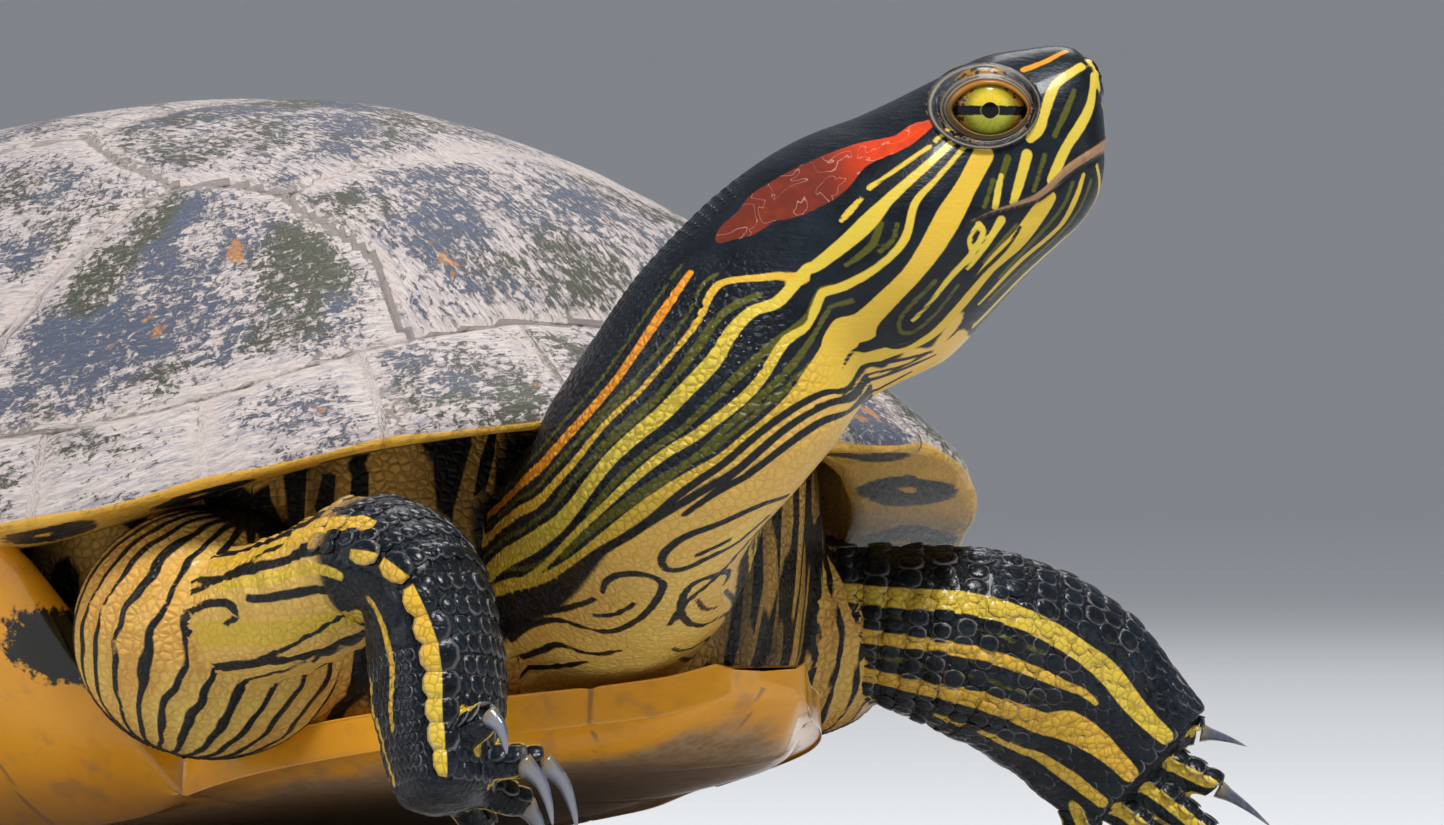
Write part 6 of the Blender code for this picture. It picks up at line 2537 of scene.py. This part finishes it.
@dataclass(frozen=True)
class EyeFinish:
    """Yellow-green iris with a level dark bar, a round pupil and a wet surface."""

    lime: Colour = (0.34, 0.38, 0.025)
    gold: Colour = (0.60, 0.42, 0.02)
    ink: Colour = (0.004, 0.005, 0.006)
    iris: float = 3.35
    pupil: float = 1.08
    bar: float = 0.62

    def build(self) -> Material:
        """Makes the material.

        Returns:
            The material.
        """
        graph = Surface("turtle eye")
        gaze = graph.read("gaze", "Vector")
        p, q, _ = graph.parts(gaze)
        away = graph.math("SQRT", p * p + q * q)
        spokes = {0: graph.math("ARCTAN2", q, p) * 7.0, 1: away * 0.6}
        fibre = graph.noise(graph.result("ShaderNodeCombineXYZ", spokes), 1.6, 4, 0.7)
        colour = graph.mix(q.step(-1.4, 1.6), self.lime, self.gold)
        colour = colour.coated(fibre.step(0.35, 0.7) * 0.5, (0.72, 0.62, 0.10))
        colour = colour.coated(away.step(2.0, self.iris) * 0.75, (0.09, 0.11, 0.01))
        outside = away.step(self.iris - 0.12, self.iris + 0.12)
        colour = colour.coated(outside, (0.30, 0.14, 0.015))
        colour = colour.coated(outside * graph.noise(gaze, 1.1).step(0.5, 0.58), (0.025, 0.02, 0.012))
        half = graph.math("ABSOLUTE", q) + graph.wander(gaze, 1.6, 3, 0.35)
        colour = colour.coated(half.fall(self.bar - 0.1, self.bar + 0.08), self.ink)
        halo = away.step(self.pupil + 0.02, self.pupil + 0.1)
        halo = halo * away.fall(self.pupil + 0.12, self.pupil + 0.26)
        colour = colour.coated(halo * 0.35, (0.5, 0.45, 0.08))
        colour = colour.coated(away.fall(self.pupil - 0.06, self.pupil + 0.04), (0.002, 0.002, 0.003))
        inputs = {"Base Color": colour, "Roughness": 0.2, "Coat Weight": 0.12, "Coat Roughness": 0.02,
                  "Specular IOR Level": 0.12}
        return graph.finish(inputs, fibre, 0.03, 0.4)


@dataclass(frozen=True)
class ClawFinish:
    """Translucent blue-grey horn with pale edges and a yellow root."""

    core: Colour = (0.055, 0.066, 0.10)
    edge: Colour = (0.20, 0.20, 0.23)
    root: Colour = (0.20, 0.15, 0.06)

    def build(self) -> Material:
        """Makes the material.

        Returns:
            The material.
        """
        graph = Surface("claw horn")
        length = graph.read("length")
        streak = graph.noise(graph.stretch(graph.place(), (1.5, 1.5, 0.4)), 1.0, 4)
        pale = graph.math("ADD", graph.read("edge").step(0.55, 1.0), length.step(0.6, 1.0) * 0.8, clamp=True)
        colour = graph.mix(pale, self.core, self.edge)
        colour = colour.coated(streak.step(0.45, 0.7) * 0.35, (0.20, 0.21, 0.26))
        colour = colour.coated(length.fall(0.0, 0.22) * 0.8, self.root)
        inputs = {"Base Color": colour, "Roughness": 0.25, "Coat Weight": 0.4, "Subsurface Weight": 0.25,
                  "Subsurface Radius": (0.8, 0.7, 0.6), "Subsurface Scale": 0.0012}
        return graph.finish(inputs, streak, 0.08, 0.6)


@dataclass(frozen=True)
class PlainFinish:
    """An even matte surface with a faint mottle for the floor, painted paler far away as painted light on the
    sweep that the lamps hardly reach.
    """

    colour: Colour = (0.60, 0.61, 0.62)
    far: Colour = (0.92, 0.92, 0.92)

    def build(self) -> Material:
        """Makes the material."""
        graph = Surface("studio floor")
        away = graph.result("ShaderNodeVectorMath", {0: graph.place()}, "Value", operation="LENGTH")
        # Painted light: the colour grows paler with distance, lighting the far sweep that the lamps hardly
        # reach.
        tone = graph.noise(graph.place(), 0.006) * 0.1 + away.step(400.0, 5000.0)
        return graph.finish({"Base Color": graph.mix(tone, self.colour, self.far), "Roughness": 0.85})


# Coats of scales


@dataclass
class Coats:
    """The coats of scales: granules on the neck, scales and plates on the limbs, toes and tail."""

    grids: Fields
    finish: Material

    def painter(self, bands: Bands) -> Callable:
        """Makes the painter of points among some bands.

        Args:
            bands: (tone, warm, dots) of each band.

        Returns:
            A function from points to fields.
        """

        def paint_points(points: Array) -> Fields:
            """Fields of the skin at points."""
            fields = blank_fields(len(points))
            paint(points, fields, bands)
            return fields

        return paint_points

    def neck(self) -> Object:
        """Granular scales over the neck, save its pale throat.

        Returns:
            The coat.
        """
        grid = self.grids["neck"]
        sides = grid.shape[1]
        places = lattice((24, 156), (0, sides), (2.5, 2.5))
        turn = places[:, 1] / sides * 360
        nape = bell(turn - 100, 45)
        fade = smooth(24, 50, places[:, 0]) * smooth(157, 112 + 30 * nape, places[:, 0])
        wide = (1.2 + 0.2 * nape) * (0.7 + 0.3 * fade)
        size = np.column_stack((wide, wide * 1.06, fade * (0.55 + 0.2 * nape) + 0.05))
        bed = ScaleBed.on_grid(grid, places, size, self.painter(head_bands()), lift=0.03 * fade - 0.06)
        low_side = np.abs((turn - 270 + 180) % 360 - 180)
        throat = low_side < 46 + 26 * (1 - smooth(20, 80, places[:, 0]))
        bare = throat | (places[:, 0] > 122 + 34 * (nape > 0.72))
        bed = bed.only(~bare)
        shape = ScaleShape("neck scale", height=0.17, sink=0.15, rings=(1.0, 0.74))
        return ScaleCoat("neck_scales", shape, bed, 11, (0.0, 0.0)).build(self.finish)

    def limb(self, plan: LimbPlan, stripes: tuple, name: str, seed: int, regions: tuple, corner: tuple,
             plates: tuple | None = None) -> Object:
        """Scales of one limb.

        Args:
            plan: The limb.
            stripes: Its painted stripes.
            name: The coat's name.
            seed: Seed of its small variations.
            regions: (stations, turns, length, width, height) of each field of scales.
            corner: Corner of its chart on the unwrap.
            plates: (stations, turn, width, length) of a row of large plates, half yellow.

        Returns:
            The coat.
        """
        grid = self.grids[plan.nodes[1]]
        skin = LimbSkin(plan, stripes)
        per_station = (plan.rings - 1) / plan.tube.last
        per_degree = plan.sides / 360
        bed = None
        for (s0, s1), (t0, t1), length, width, height in regions:
            middle = int(np.clip((s0 + s1) / 2 * per_station, 1, len(grid) - 2))
            ring_step = np.linalg.norm(grid[middle + 1].mean(0) - grid[middle].mean(0))
            loop = np.linalg.norm(np.diff(grid[middle], axis=0), axis=1).sum()
            step = (length * 0.8 / ring_step, width * 0.88 / (loop / plan.sides))
            places = lattice((s0 * per_station, s1 * per_station), (t0 * per_degree, t1 * per_degree), step)
            size = np.tile((width, length, height), (len(places), 1))
            part = ScaleBed.on_grid(grid, places, size, skin.markings)
            bed = part if bed is None else bed.joined(part)
        if plates:
            (first, last, count), turn, width, length = plates
            s = np.linspace(first, last, count)
            places = np.column_stack((s * per_station, np.full(count, turn * per_degree)))
            swell = curve(((0, 0.7), (0.35, 1.05), (0.6, 1.1), (1, 0.75)), np.linspace(0, 1, count))
            size = np.column_stack((width * swell, np.full(count, length), np.full(count, 3.0)))
            bed = bed.joined(ScaleBed.on_grid(grid, places, size, skin.markings, np.ones(count), 0.3))
        bed = bed.joined(self.toes(plan, skin))
        bed = bed.only(bed.points[:, 2] > 1.0)
        shape = ScaleShape(name + " shape", corners=10, squareness=3.0, height=0.16, sink=0.08, tilt=0.10,
                           rings=(1.0, 0.86, 0.5))
        return ScaleCoat(name, shape, bed, seed, corner).build(self.finish)

    def toes(self, plan: LimbPlan, skin: LimbSkin) -> ScaleBed:
        """Scutes along the top and flanks of each digit.

        Args:
            plan: The limb.
            skin: Its flesh, for the markings.

        Returns:
            The bed of the scutes.
        """
        rows = []
        for digit in plan.paw.digits:
            knuckle, end = plan.paw.line(digit)
            along = unit(end - knuckle)
            side = unit(np.cross(UP, along))
            up = np.cross(along, side)
            for lean in (-52, 0, 52):
                normal = unit(up * np.cos(np.radians(lean)) + side * np.sin(np.radians(lean)))
                for k in np.linspace(-0.15, 0.92, 6):
                    radius = plan.paw.digit_radius * float(curve(((0, 1.12), (0.5, 1.05), (1, 0.78)), k))
                    rows.append((*(knuckle + (end - knuckle) * k + normal * radius * 0.93), *normal, *along))
        rows = np.array(rows)
        points = rows[:, :3]
        size = np.tile((2.8, 2.9, 1.6), (len(points), 1))
        order = np.arange(len(points))
        chart = np.column_stack(((order % 18) / 18, 0.9 + 0.1 * order / len(points)))
        return ScaleBed(points, rows[:, 3:6], rows[:, 6:], size, chart, np.zeros(len(points)), skin.markings)

    def tail(self) -> Object:
        """Small scales down the tail."""
        grid = self.grids["tail"]
        places = lattice((16, 58), (0, 40), (2.4, 2.6))
        size = np.tile((2.3, 2.9, 1.6), (len(places), 1)) * (1.15 - 0.75 * places[:, :1] / 60)
        bands = [stripe.band(TAIL) for stripe in TAIL_STRIPES]
        bed = ScaleBed.on_grid(grid, places, size, self.painter(bands))
        shape = ScaleShape("tail scale", corners=8, squareness=2.6, height=0.16, tilt=0.08)
        return ScaleCoat("tail_scales", shape, bed, 31, (0.5, 0.5)).build(self.finish)

    def build(self) -> list[Object]:
        """Makes every coat.

        Returns:
            The coats, in order.
        """
        near, far, left, right = LIMBS
        near_fields = (((2.9, 4.1), (200, 352), 2.6, 2.2, 2.0), ((4.1, 6.9), (205, 335), 2.9, 2.5, 2.4),
                       ((5.2, 6.9), (20, 200), 1.9, 1.6, 1.2))
        far_fields = (((0.9, 5.0), (-75, 52), 3.6, 3.1, 1.8), ((0.6, 5.0), (52, 150), 2.9, 2.5, 1.2),
                      ((0.8, 5.0), (150, 285), 2.6, 2.3, 1.2))
        hind_fields = (((1.4, 5.0), (0, 360), 3.0, 2.6, 1.5),)
        return [
            self.neck(),
            self.limb(near, ARM_RIGHT_STRIPES, "right_arm_scales", 21, near_fields, (0.25, 0.0),
                      ((3.75, 6.75, 9), -6, 5.0, 5.0)),
            self.limb(far, ARM_LEFT_STRIPES, "left_arm_scales", 22, far_fields, (0.5, 0.0)),
            self.limb(left, LEG_STRIPES, "left_leg_scales", 23, hind_fields, (0.0, 0.5)),
            self.limb(right, LEG_STRIPES, "right_leg_scales", 24, hind_fields, (0.25, 0.5)),
            self.tail(),
        ]


# Studio


@dataclass(frozen=True)
class Studio:
    """The camera, the lights and the pale sweep the turtle stands on."""

    azimuth: float = 47.0
    lens: float = 467.5
    distance: float = 2.5
    target: tuple = (0.0949, 0.0138, 0.060)
    lit_point: tuple = (0.05, 0, 0.05)
    sky: Colour = (0.80, 0.86, 0.95)
    sky_strength: float = 0.30
    sides: int = 96
    sweep: tuple = ((0.001, 0), (1, 0), (9, 0), (11, 0.3), (12.5, 1.2), (13, 2.5), (13, 9))
    lamps: tuple = (("key", (1.15, -0.35, 1.8), 48, 0.5), ("fill", (-0.8, -1.9, 0.9), 16, 1.3),
                    ("back", (-0.9, 1.2, 1.9), 16, 0.9), ("low", (2.2, 1.0, 0.5), 4, 1.0))

    def camera(self) -> None:
        """The long-lens camera at the height of the turtle's shoulder."""
        data = bpy.data.cameras.new("camera")
        data.lens, data.sensor_width = self.lens, 36
        data.clip_end = 50
        camera = show(bpy.data.objects.new("camera", data))
        turn = np.radians(self.azimuth)
        away = Vector((np.sin(turn), -np.cos(turn), 0)) * self.distance
        camera.location = Vector(self.target) + away
        camera.rotation_euler = (np.pi / 2, 0, turn)
        bpy.context.scene.camera = camera

    def floor(self) -> None:
        """A pale floor that sweeps up behind in every direction."""
        shape = bmesh.new()
        rows = []
        for radius, height in self.sweep:
            rows.append([shape.verts.new((radius * np.cos(t), radius * np.sin(t), height))
                         for t in circle(self.sides)])
        for low, high in zip(rows, rows[1:]):
            for i in range(self.sides):
                j = (i + 1) % self.sides
                shape.faces.new((low[i], low[j], high[j], high[i]))
        shape.faces.new(rows[0][::-1])
        bmesh.ops.recalc_face_normals(shape, faces=shape.faces)
        mesh = bpy.data.meshes.new("studio_floor")
        shape.to_mesh(mesh)
        shape.free()
        mesh.shade_smooth()
        floor = new_piece("studio_floor", mesh)
        floor.data.materials.append(PlainFinish().build())

    def lights(self) -> None:
        """A broad key from above and ahead, a soft fill, and a high light from behind."""
        world = bpy.data.worlds.new("studio")
        world.use_nodes = True
        background = world.node_tree.nodes["Background"]
        background.inputs["Color"].default_value = (*self.sky, 1)
        background.inputs["Strength"].default_value = self.sky_strength
        bpy.context.scene.world = world
        for name, place, power, size in self.lamps:
            data = bpy.data.lights.new(name, "AREA")
            data.energy, data.size = power, size
            light = show(bpy.data.objects.new(name, data))
            light.location = place
            aim = Vector(self.lit_point) - Vector(place)
            light.rotation_euler = aim.to_track_quat("-Z", "Y").to_euler()

    def build(self) -> None:
        """Sets the whole studio."""
        self.camera()
        self.floor()
        self.lights()
        bpy.context.scene.view_settings.view_transform = "Standard"


def report(piece: Object) -> Object:
    """Logs a piece's name and how many faces it has."""
    LOG.info("%s: %d faces", piece.name, len(piece.data.polygons))
    return piece


def main() -> None:
    """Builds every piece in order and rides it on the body."""
    logging.basicConfig(level=logging.INFO, format="%(message)s")
    Studio().build()
    effects = Effects()
    skin_finish = SkinFinish().build(effects)
    skin, grids = Skin().build()
    skin.data.materials.append(skin_finish)
    nodes = [node for plan in LIMBS for node in plan.nodes]
    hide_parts(*Skin.nodes, *nodes)
    pieces = [skin, Carapace().build(CarapaceFinish().build(effects)),
              Plastron().build(PlastronFinish().build(effects))]
    eye_finish, claw_finish = EyeFinish().build(), ClawFinish().build()
    pieces += [Eye(side).build(eye_finish) for side in Side]
    for plan in LIMBS:
        for number, digit in enumerate(plan.paw.digits[:plan.claws], 1):
            pieces.append(Claw(plan.paw, digit, f"{plan.claw_name}_{number}").build(claw_finish))
    pieces += Coats(grids, skin_finish).build()
    for piece in pieces:
        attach(report(piece), "root")
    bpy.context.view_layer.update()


if __name__ == "__main__":
    main()
